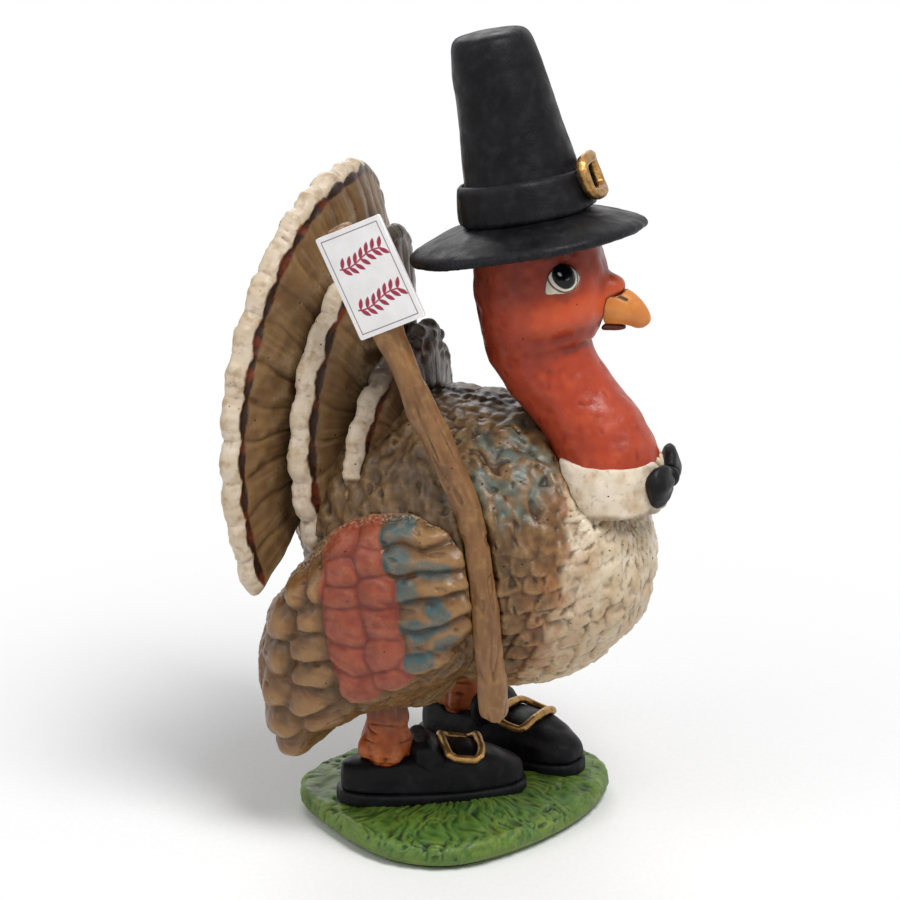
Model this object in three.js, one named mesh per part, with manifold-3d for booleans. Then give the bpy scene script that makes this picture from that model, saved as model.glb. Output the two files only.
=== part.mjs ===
// Thanksgiving turkey figure: a painted cast-resin bird in a tall buckled hat, with a small sign on a staff.
// Millimetres. +Z is up, +X is the way the bird faces, and the origin is the centre of the underside.
import * as THREE from "three";
import { mergeVertices } from "three/addons/utils/BufferGeometryUtils.js";
import Module from "manifold-3d";

const wasm = await Module();
wasm.setup();

// Fits between the castings
const GLUE_GAP = 0.3;
const ROD_RADIUS = 1.6;

// Grass base and its felt
const BASE_EDGE_HEIGHT = 8.5;
const BASE_EDGE_ROUND = 4;
const BASE_CROWN = 3;
const BASE_CROWN_INSET = 30;
const FELT_THICKNESS = 1.5;
const FELT_INSET = 5;

// Shoes, each in its own frame with +X towards the toe
const SHOE_LENGTH = 72;
const SHOE_WIDTH = 29;
const TOE_FLARE = 0.04;
const SOLE_HEIGHT = 5;
const SOLE_SINK = 2;
const WELT = 1.2;
const HEEL_HEIGHT = 13;
const VAMP_HEIGHT = 14.5;
const VAMP_AHEAD = 6;
const TOE_HEIGHT = 8;
const TONGUE_WIDTH = 24;
const TONGUE_ROOT = 14;
const TONGUE_THICKNESS = 10;
const TONGUE_RISE = 4.8;
const BUCKLE_WIRE = 1.5;
const SHOE_BUCKLE_LENGTH = 14;
const SHOE_BUCKLE_WIDTH = 22;
const SHOE_BUCKLE_AHEAD = 11;

// Legs: where each one stands, and how far its shoe is turned
const ANKLE_SETBACK = 17;
const ANKLE_RADIUS = 8;
const CUFF_RADIUS = 9.4;
const LEG_RADIUS = 7.8;
const LEG_INTO_BODY = 8;
const FEET = {
  right: { x: -15.5, y: -25.5, turn: 36 },
  left: { x: -12, y: 32, turn: -7 },
};

// Body egg and thighs
const BODY_TAIL_X = -62;
const BODY_BREAST_X = 78;
const BODY_HALF_WIDTH = 50;
const BODY_HALF_HEIGHT = 54;
const BODY_MIDDLE_Z = 112.5;
const BODY_TAIL_LIFT = 9;
const THIGH_RADIUS = 22;
const THIGH_DEPTH = 21;
const THIGH_INSET = 4;

// Feathers of the body, in rows round the neck with their tips away from it
const FEATHER_REACH = 58;
const FEATHER_ROW = 15;
const FEATHER_COLUMNS = 18;
const FEATHER_RISE = 1.4;

// Wings
const WING_BULGE = 12;
const WING_EDGE = 6;
const WING_RIM_Y = 39;
const WING_FULLNESS = 3;

// Tail tiers: top of the front skin, half sizes, lobes, depth, sweep of the sides and bow of the middle
const TAIL_SPREAD = 126;
const TAIL_ROOT = 0.06;
const TAIL_SCALLOP = 2.4;
const TAIL_RIB = 0.9;
const TIERS = {
  outer: { x: -44, z: 151, wide: 65, high: 98, lobes: 25, thickness: 6, sweep: 15, bow: 17 },
  middle: { x: -24.5, z: 151, wide: 46, high: 76, lobes: 19, thickness: 6, sweep: 16.5, bow: 6 },
  inner: { x: -13, z: 140, wide: 41, high: 50, lobes: 15, thickness: 6, sweep: 8, bow: 5 },
};

// Neck and head, from the shoulder socket up
const HEAD_TURN = 15;
const NECK_ROD_SETBACK = 3;
const NECK_ROD_INTO_NECK = 6;
const NECK_BASE = { x: 65, z: 139, radius: 17.5 };
const NECK_COLLAR = { x: 63, z: 154, radius: 17.5 };
const NECK_MIDDLE = { x: 49, z: 172, radius: 16.2 };
const JAW = { x: 35, z: 191, radius: 19.5 };
const HEAD = { x: 35.5, z: 212, radius: 25 };
const HEAD_TOP = { x: 31.5, z: 234.5, radius: 22 };
const SNOOD_RADIUS = 4.8;
const SNOOD_AHEAD = 6.2;
const SNOOD_RISE = 7;
const EYE_RADIUS = 6.6;
const EYE_PROUD = 1.2;
const EYE_TURN = 58;
const EYE_RISE = 10.5;
const PUPIL_RADIUS = 4.6;
const BEAK_SETBACK = 5;
const BEAK_BELOW = 3;
const BEAK_LENGTH = 18.5;
const BEAK_HALF_WIDTH = 6.4;
const BEAK_HALF_HEIGHT = 7.8;
const BEAK_DROP = 7.5;
const LOWER_BEAK_LENGTH = 11.5;
const LOWER_BEAK_RADIUS = 2.2;

// Collar and bow
const COLLAR_HEIGHT = 19;
const COLLAR_FLARE = 0.4;
const COLLAR_THICKNESS = 3;
const BOW_TURN = 12;
const BOW_LOOP_LENGTH = 13.5;
const BOW_LOOP_HEIGHT = 8.5;
const BOW_LOOP_THICKNESS = 3.6;
const BOW_KNOT_RADIUS = 4.2;
const BOW_TILT = 6;

// Hat, in its own frame with +Z along the crown
const HAT_TILT = 13.8;
const HAT_ROLL = 5.3;
const HAT_SETBACK = 3;
const CROWN_LEAN = 3;
const CROWN_AHEAD = 1.9;
const HAT_SEAT = 4.7;
const HAT_ROD_INTO_HEAD = 12;
const BRIM_RADIUS = 44.2;
const BRIM_THICKNESS = 5;
const BRIM_DROOP = 8;
const CROWN_BASE_RADIUS = 23;
const CROWN_TOP_RADIUS = 14.2;
const CROWN_HEIGHT = 67.5;
const CROWN_ROUND = 3;
const BAND_HEIGHT = 15;
const BAND_THICKNESS = 2.6;
const HAT_BUCKLE_WIDTH = 19;
const HAT_BUCKLE_HEIGHT = 13;
const HAT_BUCKLE_WIRE = 2.2;

// Sign
const STAFF_RADIUS = 5;
const STAFF_LEAN = 27.5;
const STAFF_UPPER = 111;
const STAFF_LOWER = 82;
const STAFF_ELBOW = { x: 27.5, z: 142.5 };
const CARD_WIDTH = 29;
const CARD_HEIGHT = 40;
const CARD_THICKNESS = 1.4;
const CARD_BELOW_TOP = 1;
const CARD_ASIDE = 6;

// Paint
const PAINT = {
  felt: [0x2f3a2c, 0.95, 0],
  grass: [0x4f7a2a, 0.6, 0],
  steel: [0x9a9da0, 0.35, 1],
  black: [0x1d1d1f, 0.55, 0],
  gold: [0xb58a4a, 0.35, 0.8],
  leg: [0xc4622c, 0.6, 0],
  feather: [0x8a7355, 0.6, 0],
  fan: [0x85704f, 0.5, 0],
  skin: [0xb1442d, 0.5, 0],
  beak: [0xd08a45, 0.5, 0],
  eye: [0xe6dcc4, 0.35, 0],
  pupil: [0x111111, 0.2, 0],
  cream: [0xd9cdb4, 0.65, 0],
  wood: [0x9a7a55, 0.65, 0],
  card: [0xe9e7ec, 0.55, 0],
};

const vec = (x, y, z) => new THREE.Vector3(x, y, z);
const rad = THREE.MathUtils.degToRad;
const SIDEWAYS = vec(0, 1, 0);

// A closed geometry as a solid with its faces pointing out.
function solid(geometry) {
  const bare = new THREE.BufferGeometry().setAttribute("position", geometry.getAttribute("position"));
  if (geometry.index) bare.setIndex(geometry.index);
  const merged = mergeVertices(bare, 1e-3);
  const triVerts = new Uint32Array(merged.index.array);
  const build = () =>
    new wasm.Manifold(
      new wasm.Mesh({ numProp: 3, vertProperties: merged.attributes.position.array, triVerts }),
    );
  const made = build();
  if (made.volume() > 0) return made;
  triVerts.reverse();
  return build();
}

function geometryOf(form) {
  const mesh = form.getMesh();
  return new THREE.BufferGeometry()
    .setAttribute("position", new THREE.BufferAttribute(mesh.vertProperties, 3))
    .setIndex(new THREE.BufferAttribute(mesh.triVerts, 1));
}

// The same solid after a placement matrix.
const placed = (form, matrix) => solid(geometryOf(form).applyMatrix4(matrix));

const less = (form, ...tools) => tools.reduce((left, tool) => left.subtract(tool), form);

// Joins a stack of rings with the same number of points into one closed skin.
function loft(rings) {
  const sides = rings[0].length;
  const points = rings.flat();
  const faces = [];
  for (let i = 0; i + 1 < rings.length; i++) {
    for (let j = 0; j < sides; j++) {
      const a = i * sides + j;
      const b = i * sides + ((j + 1) % sides);
      faces.push(a, b, b + sides, a, b + sides, a + sides);
    }
  }
  const last = (rings.length - 1) * sides;
  const centreOf = (ring) => ring.reduce((sum, p) => sum.add(p), vec(0, 0, 0)).divideScalar(sides);
  points.push(centreOf(rings[0]), centreOf(rings.at(-1)));
  for (let j = 0; j < sides; j++) {
    const k = (j + 1) % sides;
    faces.push(k, j, points.length - 2, last + j, last + k, points.length - 1);
  }
  return solid(new THREE.BufferGeometry().setFromPoints(points).setIndex(faces));
}

const around = (sides, point) => Array.from({ length: sides }, (_, j) => point((2 * Math.PI * j) / sides));

// A round form along a spine. Each station has its middle, its half width sideways and its half height.
function sweep(stations, sides, stepsPerSpan, grow = 0, sideways = SIDEWAYS) {
  const spine = new THREE.CatmullRomCurve3(stations.map((s) => s.middle));
  const halves = new THREE.CatmullRomCurve3(stations.map((s) => vec(s.wide, s.high, 0)));
  const steps = (stations.length - 1) * stepsPerSpan;
  const rings = [];
  for (let i = 0; i <= steps; i++) {
    const along = spine.getTangent(i / steps);
    const middle = spine.getPoint(i / steps);
    const half = halves.getPoint(i / steps);
    const rise = along.clone().cross(sideways).normalize();
    const across = rise.clone().cross(along).normalize();
    const end = i === 0 ? -grow : i === steps ? grow : 0;
    rings.push(
      around(sides, (angle) =>
        middle
          .clone()
          .addScaledVector(along, end)
          .addScaledVector(across, (half.x + grow) * Math.cos(angle))
          .addScaledVector(rise, (half.y + grow) * Math.sin(angle)),
      ),
    );
  }
  return loft(rings);
}

const station = (x, y, z, wide, high = wide) => ({ middle: vec(x, y, z), wide, high });

function ball(x, y, z, radii, sides, grow = 0) {
  const form = new THREE.SphereGeometry(1, sides, Math.round(sides * 0.6));
  form.scale(radii.x + grow, radii.y + grow, radii.z + grow);
  return solid(form.translate(x, y, z));
}

function rod(from, to, grow = 0) {
  const length = from.distanceTo(to) + 2 * grow;
  const form = new THREE.CylinderGeometry(ROD_RADIUS + grow, ROD_RADIUS + grow, length, 10);
  const turn = new THREE.Quaternion().setFromUnitVectors(SIDEWAYS, to.clone().sub(from).normalize());
  form.applyQuaternion(turn);
  const middle = from.clone().lerp(to, 0.5);
  return solid(form.translate(middle.x, middle.y, middle.z));
}

const lathe = (profile, sides) =>
  solid(
    new THREE.LatheGeometry(
      profile.map(([r, z]) => new THREE.Vector2(r, z)),
      sides,
    ).rotateX(Math.PI / 2),
  );

// A closed loop of round wire through points.
function wireLoop(points, radius, segments) {
  const path = new THREE.CatmullRomCurve3(points, true);
  return solid(new THREE.TubeGeometry(path, segments, radius, 6, true));
}

// Points round a rectangle with rounded corners, as shares from -1 to 1 each way.
function frameShares(count) {
  const squareness = 0.45;
  const squared = (value) => Math.sign(value) * Math.abs(value) ** squareness;
  return around(count, (angle) => [squared(Math.cos(angle)), squared(Math.sin(angle))]);
}

const root = new THREE.Group();

function add(name, form, paint, parent = root) {
  const [color, roughness, metalness] = PAINT[paint];
  const mesh = new THREE.Mesh(
    geometryOf(form),
    new THREE.MeshStandardMaterial({ color, roughness, metalness }),
  );
  mesh.name = name;
  parent.add(mesh);
}

// Grass base: a wavy-edged disc with a rounded rim and a low crown
const BASE_BOTTOM = FELT_THICKNESS + GLUE_GAP;
const BASE_RIM = BASE_BOTTOM + BASE_EDGE_HEIGHT;
const SOLE_BOTTOM = BASE_RIM + BASE_CROWN - SOLE_SINK;

const BASE_OUTLINE = [
  [-53, -27],
  [-34, -42],
  [-16, -53],
  [4, -60],
  [25, -55],
  [38, -38],
  [48, -11],
  [51, 15],
  [45, 42],
  [26, 54],
  [-6, 50],
  [-37, 28],
  [-54, 1],
];
const baseEdge = new THREE.CatmullRomCurve3(
  BASE_OUTLINE.map(([x, y]) => vec(x, y, 0)),
  true,
);
function baseRing(inset, z) {
  return Array.from({ length: 39 }, (_, j) => {
    const point = baseEdge.getPoint(j / 39);
    return point.setLength(point.length() - inset).setZ(z);
  });
}

function grassForm() {
  const shoulder = BASE_RIM - BASE_EDGE_ROUND;
  const rings = [baseRing(BASE_EDGE_ROUND * 0.5, BASE_BOTTOM)];
  rings.push(baseRing(0, BASE_BOTTOM + BASE_EDGE_ROUND * 0.6));
  for (const turn of [0, 45, 90]) {
    const inset = BASE_EDGE_ROUND * (1 - Math.cos(rad(turn)));
    rings.push(baseRing(inset, shoulder + BASE_EDGE_ROUND * Math.sin(rad(turn))));
  }
  rings.push(baseRing(BASE_CROWN_INSET / 2, BASE_RIM + BASE_CROWN * 0.75));
  rings.push(baseRing(BASE_CROWN_INSET, BASE_RIM + BASE_CROWN));
  return loft(rings);
}

const feltForm = () => loft([baseRing(FELT_INSET, 0), baseRing(FELT_INSET, FELT_THICKNESS)]);

// Shoe outline: half its width at a turn round the sole, blunt at both ends
const shoeX = (turn, grow) => (SHOE_LENGTH / 2 + grow) * Math.cos(turn);
function shoeY(turn, grow) {
  const blunt = Math.sign(Math.sin(turn)) * Math.abs(Math.sin(turn)) ** 0.72;
  return (SHOE_WIDTH / 2 + grow) * blunt * (1 + TOE_FLARE * Math.cos(turn));
}

function soleForm(grow = 0) {
  const ring = (z) => around(32, (turn) => vec(shoeX(turn, grow), shoeY(turn, grow), z));
  return loft([ring(-grow), ring(SOLE_HEIGHT + grow)]);
}

// Height of the upper above the sole, from heel to toe
const UPPER_BOTTOM = SOLE_HEIGHT + GLUE_GAP;
const upperProfile = new THREE.SplineCurve([
  new THREE.Vector2(-SHOE_LENGTH / 2, HEEL_HEIGHT * 0.75),
  new THREE.Vector2(-ANKLE_SETBACK, HEEL_HEIGHT),
  new THREE.Vector2(VAMP_AHEAD, VAMP_HEIGHT),
  new THREE.Vector2((VAMP_AHEAD + SHOE_LENGTH / 2) / 2, (VAMP_HEIGHT + TOE_HEIGHT * 1.3) / 2),
  new THREE.Vector2(SHOE_LENGTH / 2, TOE_HEIGHT * 0.6),
]);
function upperHeight(x) {
  const points = upperProfile.getPoints(80);
  const next = Math.max(1, points.findIndex((p) => p.x >= x - 1e-6));
  const [a, b] = [points[next - 1], points[next]];
  return THREE.MathUtils.mapLinear(x, a.x, b.x, a.y, b.y);
}
const ARCH_POWER = 3;
// Height of the upper's skin at a place, between its two side walls
const upperSkin = (x, share) => upperHeight(x) * (1 - Math.abs(share) ** ARCH_POWER) ** (1 / ARCH_POWER);

function upperForm(grow = 0) {
  const stations = 16;
  const rings = [];
  for (let i = 1; i < stations; i++) {
    const turn = Math.PI * (1 - i / stations);
    const x = shoeX(turn, grow - WELT);
    const half = Math.max(shoeY(turn, grow - WELT), 1);
    const wall = Array.from({ length: 11 }, (_, j) => {
      const share = Math.cos((Math.PI * j) / 10);
      const top = upperSkin(THREE.MathUtils.clamp(x, -SHOE_LENGTH / 2, SHOE_LENGTH / 2), share);
      return vec(x, half * share, UPPER_BOTTOM + top + grow);
    });
    rings.push([vec(x, half, UPPER_BOTTOM - grow), ...wall, vec(x, -half, UPPER_BOTTOM - grow)]);
  }
  return loft(rings);
}

// Tongue: a wedge that stands up between the leg and the buckle, thick at its root
function tongueForm() {
  const heel = -ANKLE_SETBACK + ANKLE_RADIUS - 1;
  const low = UPPER_BOTTOM + VAMP_HEIGHT * 0.4;
  const high = UPPER_BOTTOM + VAMP_HEIGHT + TONGUE_RISE;
  const stations = [0, 0.4, 0.85, 1].map((share) => {
    const thick = THREE.MathUtils.lerp(TONGUE_ROOT, TONGUE_THICKNESS, share);
    const taper = share === 1 ? 0.72 : 1;
    const z = THREE.MathUtils.lerp(low, high, share);
    return station(heel + thick / 2, 0, z, (TONGUE_WIDTH / 2) * taper, (thick / 2) * taper);
  });
  return sweep(stations, 12, 1);
}

// Buckle wire bent over the vamp
function shoeBuckleForm() {
  const points = frameShares(28).map(([along, across]) => {
    const x = SHOE_BUCKLE_AHEAD + (along * SHOE_BUCKLE_LENGTH) / 2;
    const turn = Math.acos(THREE.MathUtils.clamp(x / (SHOE_LENGTH / 2 - WELT), -1, 1));
    const half = shoeY(turn, -WELT);
    const share = (across * SHOE_BUCKLE_WIDTH) / 2 / half;
    return vec(x, share * half, UPPER_BOTTOM + upperSkin(x, share) + BUCKLE_WIRE + GLUE_GAP);
  });
  return wireLoop(points, BUCKLE_WIRE, 26);
}

// Legs
const LEG_BOTTOM = SOLE_BOTTOM + UPPER_BOTTOM;
const THIGH_BOTTOM = BODY_MIDDLE_Z - BODY_HALF_HEIGHT - THIGH_DEPTH / 2;
const LEG_TOP = THIGH_BOTTOM + LEG_INTO_BODY;
function legForm({ x, y }, grow = 0) {
  const span = LEG_TOP - LEG_BOTTOM;
  return sweep(
    [
      station(x, y, LEG_BOTTOM, ANKLE_RADIUS),
      station(x, y, LEG_BOTTOM + HEEL_HEIGHT * 0.9, ANKLE_RADIUS),
      station(x, y, LEG_BOTTOM + HEEL_HEIGHT * 1.1, CUFF_RADIUS),
      station(x, y, LEG_BOTTOM + span * 0.7, LEG_RADIUS),
      station(x, y, LEG_TOP, LEG_RADIUS),
    ],
    14,
    1,
    grow,
  );
}
const legRod = ({ x, y }, grow = 0) =>
  rod(vec(x, y, BASE_BOTTOM + ROD_RADIUS), vec(x, y, LEG_TOP + 2 * LEG_INTO_BODY), grow);

const shoePlace = ({ x, y, turn }) =>
  new THREE.Matrix4()
    .makeTranslation(x, y, SOLE_BOTTOM)
    .multiply(new THREE.Matrix4().makeRotationZ(rad(turn)))
    .multiply(new THREE.Matrix4().makeTranslation(ANKLE_SETBACK, 0, 0));

// Body: an egg laid along X, and a thigh over each leg
const BODY_SECTIONS = [
  [0, 0.22],
  [0.07, 0.52],
  [0.18, 0.78],
  [0.33, 0.93],
  [0.5, 1],
  [0.65, 0.99],
  [0.79, 0.84],
  [0.9, 0.61],
  [0.97, 0.38],
  [1, 0.16],
];
const bodyMiddle = vec((BODY_TAIL_X + BODY_BREAST_X) / 2, 0, BODY_MIDDLE_Z);
const bodyHalves = vec((BODY_BREAST_X - BODY_TAIL_X) / 2, BODY_HALF_WIDTH, BODY_HALF_HEIGHT);
const bodyProfile = new THREE.CatmullRomCurve3(
  BODY_SECTIONS.map(([share, size]) => vec(share, size, 0)),
).getPoints(120);

// Size of the body's section at a share of its length, 0 beyond both ends
function bodySize(share) {
  const next = bodyProfile.findIndex((p) => p.x > share);
  if (next < 1) return 0;
  const [a, b] = [bodyProfile[next - 1], bodyProfile[next]];
  return THREE.MathUtils.mapLinear(share, a.x, b.x, a.y, b.y);
}

function isInBody(point) {
  const share = THREE.MathUtils.inverseLerp(BODY_TAIL_X, BODY_BREAST_X, point.x);
  const size = bodySize(share);
  const z = point.z - BODY_MIDDLE_Z - BODY_TAIL_LIFT * (0.6 - share);
  return Math.hypot(point.y / BODY_HALF_WIDTH, z / BODY_HALF_HEIGHT) < size;
}

// Point of the body's skin on a ray from its middle, found by halving
function bodySkin(way) {
  let [inside, outside] = [0, 2];
  for (let i = 0; i < 24; i++) {
    const half = (inside + outside) / 2;
    if (isInBody(bodyMiddle.clone().addScaledVector(way, half))) inside = half;
    else outside = half;
  }
  return bodyMiddle.clone().addScaledVector(way, inside);
}

// Egg of the body, ringed round the neck so that its rows of feathers overlap away from it
const neckPole = vec(NECK_BASE.x, 0, NECK_BASE.z).sub(bodyMiddle).divide(bodyHalves).normalize();
const neckFront = neckPole.clone().cross(SIDEWAYS).negate();
const FEATHER_ROWS = Math.round((Math.PI * FEATHER_REACH) / FEATHER_ROW);
function featherRise(row, along, turn) {
  const cell = (turn / (2 * Math.PI)) * FEATHER_COLUMNS + (row % 2) / 2;
  const across = 2 * (cell - Math.floor(cell)) - 1;
  const fade = Math.min(1, row / 2, (FEATHER_ROWS - 1 - row) / 2);
  return FEATHER_RISE * fade * along * (1 - 0.65 * across * across);
}
function eggForm(grow = 0) {
  const rings = [];
  for (let row = 0; row < FEATHER_ROWS; row++) {
    for (const along of [0.08, 0.5, 0.92]) {
      const lean = (Math.PI * (row + along)) / FEATHER_ROWS;
      const ring = around(FEATHER_COLUMNS * 4, (turn) => {
        const way = neckFront.clone().multiplyScalar(Math.cos(turn));
        way.addScaledVector(SIDEWAYS, Math.sin(turn)).multiplyScalar(Math.sin(lean));
        way.addScaledVector(neckPole, Math.cos(lean)).multiply(bodyHalves);
        return bodySkin(way).addScaledVector(way.normalize(), featherRise(row, along, turn) + grow);
      });
      rings.push(ring);
    }
  }
  return loft(rings);
}
function thighForm({ x, y }, grow = 0) {
  const inwards = y - Math.sign(y) * THIGH_INSET;
  const radii = vec(THIGH_RADIUS * 1.15, THIGH_RADIUS, THIGH_DEPTH);
  return ball(x + THIGH_INSET, inwards, THIGH_BOTTOM + THIGH_DEPTH, radii, 16, grow);
}
const bodyForm = (grow = 0) =>
  eggForm(grow).add(thighForm(FEET.right, grow)).add(thighForm(FEET.left, grow));

// Wing: a leaf-shaped cushion against the flank, drooping to a tip behind the leg
const WING_OUTLINE = [
  [36, 111],
  [30, 127],
  [10, 137],
  [-17, 131],
  [-45, 105],
  [-59, 79],
  [-61, 55],
  [-48, 28],
  [-26, 45],
  [5, 59],
  [30, 82],
];
const WING_MIDDLE = [-9, 94];
function wingForm(side, grow = 0) {
  const outline = new THREE.CatmullRomCurve3(
    WING_OUTLINE.map(([x, z]) => vec(x, 0, z)),
    true,
  );
  const middle = vec(WING_MIDDLE[0], 0, WING_MIDDLE[1]);
  const face = BODY_HALF_WIDTH + WING_BULGE;
  const ring = (share, depth) =>
    Array.from({ length: 36 }, (_, j) => {
      const point = outline.getPoint(j / 36).sub(middle);
      const reach = point.length();
      point.multiplyScalar((reach * share + grow) / reach).add(middle);
      return point.setY(side * depth);
    });
  const swell = (share) => (face - WING_RIM_Y) * (1 - share ** WING_FULLNESS) ** (1 / WING_FULLNESS);
  const shares = [1, 0.98, 0.92, 0.8, 0.58, 0.3];
  const rings = shares.map((share) => ring(share, WING_RIM_Y + swell(share) + (share < 1 ? grow : 0)));
  return loft([ring(1, WING_RIM_Y - WING_EDGE - grow), ...rings]);
}

// Tail tier: a scalloped shell whose middle stands forward of its sides
function tierForm({ x, z, wide, high, lobes, thickness, sweep: back, bow }, grow = 0) {
  const columns = lobes * 4;
  const rows = [0, 0.4, 0.8, 0.94, 1];
  const ribs = [0, 0.9, 1, 0.5, 0];
  const spread = rad(TAIL_SPREAD);
  const crest = (turn) => Math.abs(Math.sin(Math.PI * (turn / (2 * spread) + 0.5) * lobes));
  const skin = (turn, share, depth) => {
    const notch = TAIL_SCALLOP * (1 - crest(turn)) * share;
    const reach = THREE.MathUtils.lerp(TAIL_ROOT, 1, share);
    const y = -(wide * reach - notch + grow) * Math.sin(turn);
    const rise = (high * reach - notch + grow) * Math.cos(turn);
    const ahead = bow * (1 - share * share) * Math.max(0, Math.cos(turn));
    return vec(x + ahead - back * Math.abs(y / wide) ** 1.5 - depth, y, z + rise);
  };
  const rings = Array.from({ length: columns + 1 }, (_, i) => {
    const turn = THREE.MathUtils.lerp(-spread, spread, i / columns);
    const proud = ribs.map((rib) => TAIL_RIB * rib * crest(turn) + grow);
    const front = rows.map((share, row) => skin(turn, share, -proud[row]));
    const rear = rows.map((share, row) => skin(turn, share, thickness + proud[row])).reverse();
    return [...front, ...rear];
  });
  return loft(rings);
}

// Neck and head
const neckStation = ({ x, z, radius }, high = radius) => station(x, 0, z, radius, high);
const BEAK_ROOT = vec(HEAD.x + HEAD.radius - BEAK_SETBACK, 0, HEAD.z - BEAK_BELOW);
const faceTurn = new THREE.Matrix4()
  .makeTranslation(HEAD.x, 0, 0)
  .multiply(new THREE.Matrix4().makeRotationZ(rad(HEAD_TURN)))
  .multiply(new THREE.Matrix4().makeTranslation(-HEAD.x, 0, 0));
function neckForm(grow = 0) {
  const spine = [NECK_BASE, NECK_COLLAR, NECK_MIDDLE, JAW, HEAD, HEAD_TOP].map((part) => neckStation(part));
  const snood = ball(
    BEAK_ROOT.x + SNOOD_AHEAD,
    0,
    BEAK_ROOT.z + SNOOD_RISE,
    vec(SNOOD_RADIUS * 1.05, SNOOD_RADIUS * 1.25, SNOOD_RADIUS * 0.9),
    10,
    grow,
  );
  return sweep(spine, 20, 3, grow).add(placed(snood, faceTurn));
}

function neckRod(grow = 0) {
  const x = NECK_COLLAR.x - NECK_ROD_SETBACK;
  return rod(vec(x, 0, BODY_MIDDLE_Z), vec(x, 0, NECK_COLLAR.z + NECK_ROD_INTO_NECK), grow);
}

function eyeOutwards(side) {
  const turn = rad(HEAD_TURN + side * EYE_TURN);
  return vec(Math.cos(turn), Math.sin(turn), 0);
}
function eyePlace(side) {
  const reach = HEAD.radius - EYE_RADIUS + EYE_PROUD;
  const outwards = eyeOutwards(side);
  return vec(HEAD.x + reach * outwards.x, reach * outwards.y, HEAD.z + EYE_RISE);
}
const eyeForm = (side, grow = 0) => {
  const { x, y, z } = eyePlace(side);
  return ball(x, y, z, vec(EYE_RADIUS, EYE_RADIUS, EYE_RADIUS), 12, grow);
};
const pupilForm = (side, grow = 0) => {
  const middle = eyePlace(side).addScaledVector(eyeOutwards(side), EYE_RADIUS - PUPIL_RADIUS * 0.72);
  return ball(middle.x, middle.y, middle.z, vec(PUPIL_RADIUS, PUPIL_RADIUS, PUPIL_RADIUS), 10, grow);
};

function upperBeakForm(grow = 0) {
  const { x, z } = BEAK_ROOT;
  const wide = BEAK_HALF_WIDTH;
  const high = BEAK_HALF_HEIGHT;
  const form = sweep(
    [
      station(x, 0, z, wide, high),
      station(x + BEAK_LENGTH * 0.45, 0, z - BEAK_DROP * 0.08, wide * 0.92, high * 0.93),
      station(x + BEAK_LENGTH * 0.75, 0, z - BEAK_DROP * 0.4, wide * 0.68, high * 0.7),
      station(x + BEAK_LENGTH * 0.95, 0, z - BEAK_DROP * 0.85, wide * 0.4, high * 0.42),
      station(x + BEAK_LENGTH, 0, z - BEAK_DROP, wide * 0.2, high * 0.2),
    ],
    14,
    2,
    grow,
  );
  return placed(form, faceTurn);
}
function lowerBeakForm() {
  const { x } = BEAK_ROOT;
  const z = BEAK_ROOT.z - BEAK_HALF_HEIGHT;
  const form = sweep(
    [
      station(x, 0, z, LOWER_BEAK_RADIUS * 1.5, LOWER_BEAK_RADIUS * 1.2),
      station(x + LOWER_BEAK_LENGTH * 0.6, 0, z - 0.6, LOWER_BEAK_RADIUS * 1.2, LOWER_BEAK_RADIUS),
      station(x + LOWER_BEAK_LENGTH, 0, z - 1, LOWER_BEAK_RADIUS * 0.6, LOWER_BEAK_RADIUS * 0.5),
    ],
    10,
    2,
  );
  return placed(form, faceTurn);
}

// Collar: a band round the foot of the neck
function collarForm(grow = 0) {
  const top = NECK_COLLAR.z;
  const inner = NECK_COLLAR.radius;
  const x = NECK_COLLAR.x;
  return sweep(
    [
      station(x, 0, top - COLLAR_HEIGHT, inner + COLLAR_FLARE + COLLAR_THICKNESS),
      station(x, 0, top - COLLAR_HEIGHT * 0.8, inner + COLLAR_FLARE + COLLAR_THICKNESS),
      station(x, 0, top - COLLAR_HEIGHT * 0.35, inner + COLLAR_THICKNESS),
      station(x, 0, top, inner + COLLAR_THICKNESS * 0.5),
    ],
    28,
    1,
    grow,
  );
}

// Bow, in a frame at the front of the collar with +Y along its loops
const BOW_Z = NECK_COLLAR.z - COLLAR_HEIGHT * 0.38;
const BOW_X = NECK_COLLAR.x + NECK_COLLAR.radius + COLLAR_THICKNESS + BOW_LOOP_THICKNESS * 0.6;
const bowPlace = new THREE.Matrix4()
  .makeTranslation(NECK_COLLAR.x, 0, 0)
  .multiply(new THREE.Matrix4().makeRotationZ(rad(BOW_TURN)))
  .multiply(new THREE.Matrix4().makeTranslation(BOW_X - NECK_COLLAR.x, 0, BOW_Z))
  .multiply(new THREE.Matrix4().makeRotationX(rad(BOW_TILT)));
const knotForm = (grow = 0) =>
  placed(
    ball(0, 0, 0, vec(BOW_KNOT_RADIUS * 0.9, BOW_KNOT_RADIUS * 0.8, BOW_KNOT_RADIUS), 12, grow),
    bowPlace,
  );
function bowLoopForm(side) {
  const wrap = BOW_LOOP_LENGTH * 0.32;
  const stations = [
    [0, 0, 0.42],
    [0.4, 0.1, 0.85],
    [0.75, 0.45, 1],
    [0.94, 0.85, 0.8],
    [1, 1, 0.45],
  ].map(([out, back, size]) =>
    station(
      -wrap * back,
      side * BOW_LOOP_LENGTH * out,
      0,
      BOW_LOOP_HEIGHT * size,
      BOW_LOOP_THICKNESS * Math.sqrt(size),
    ),
  );
  return placed(sweep(stations, 12, 2, 0, vec(0, 0, 1)), bowPlace);
}

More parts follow.
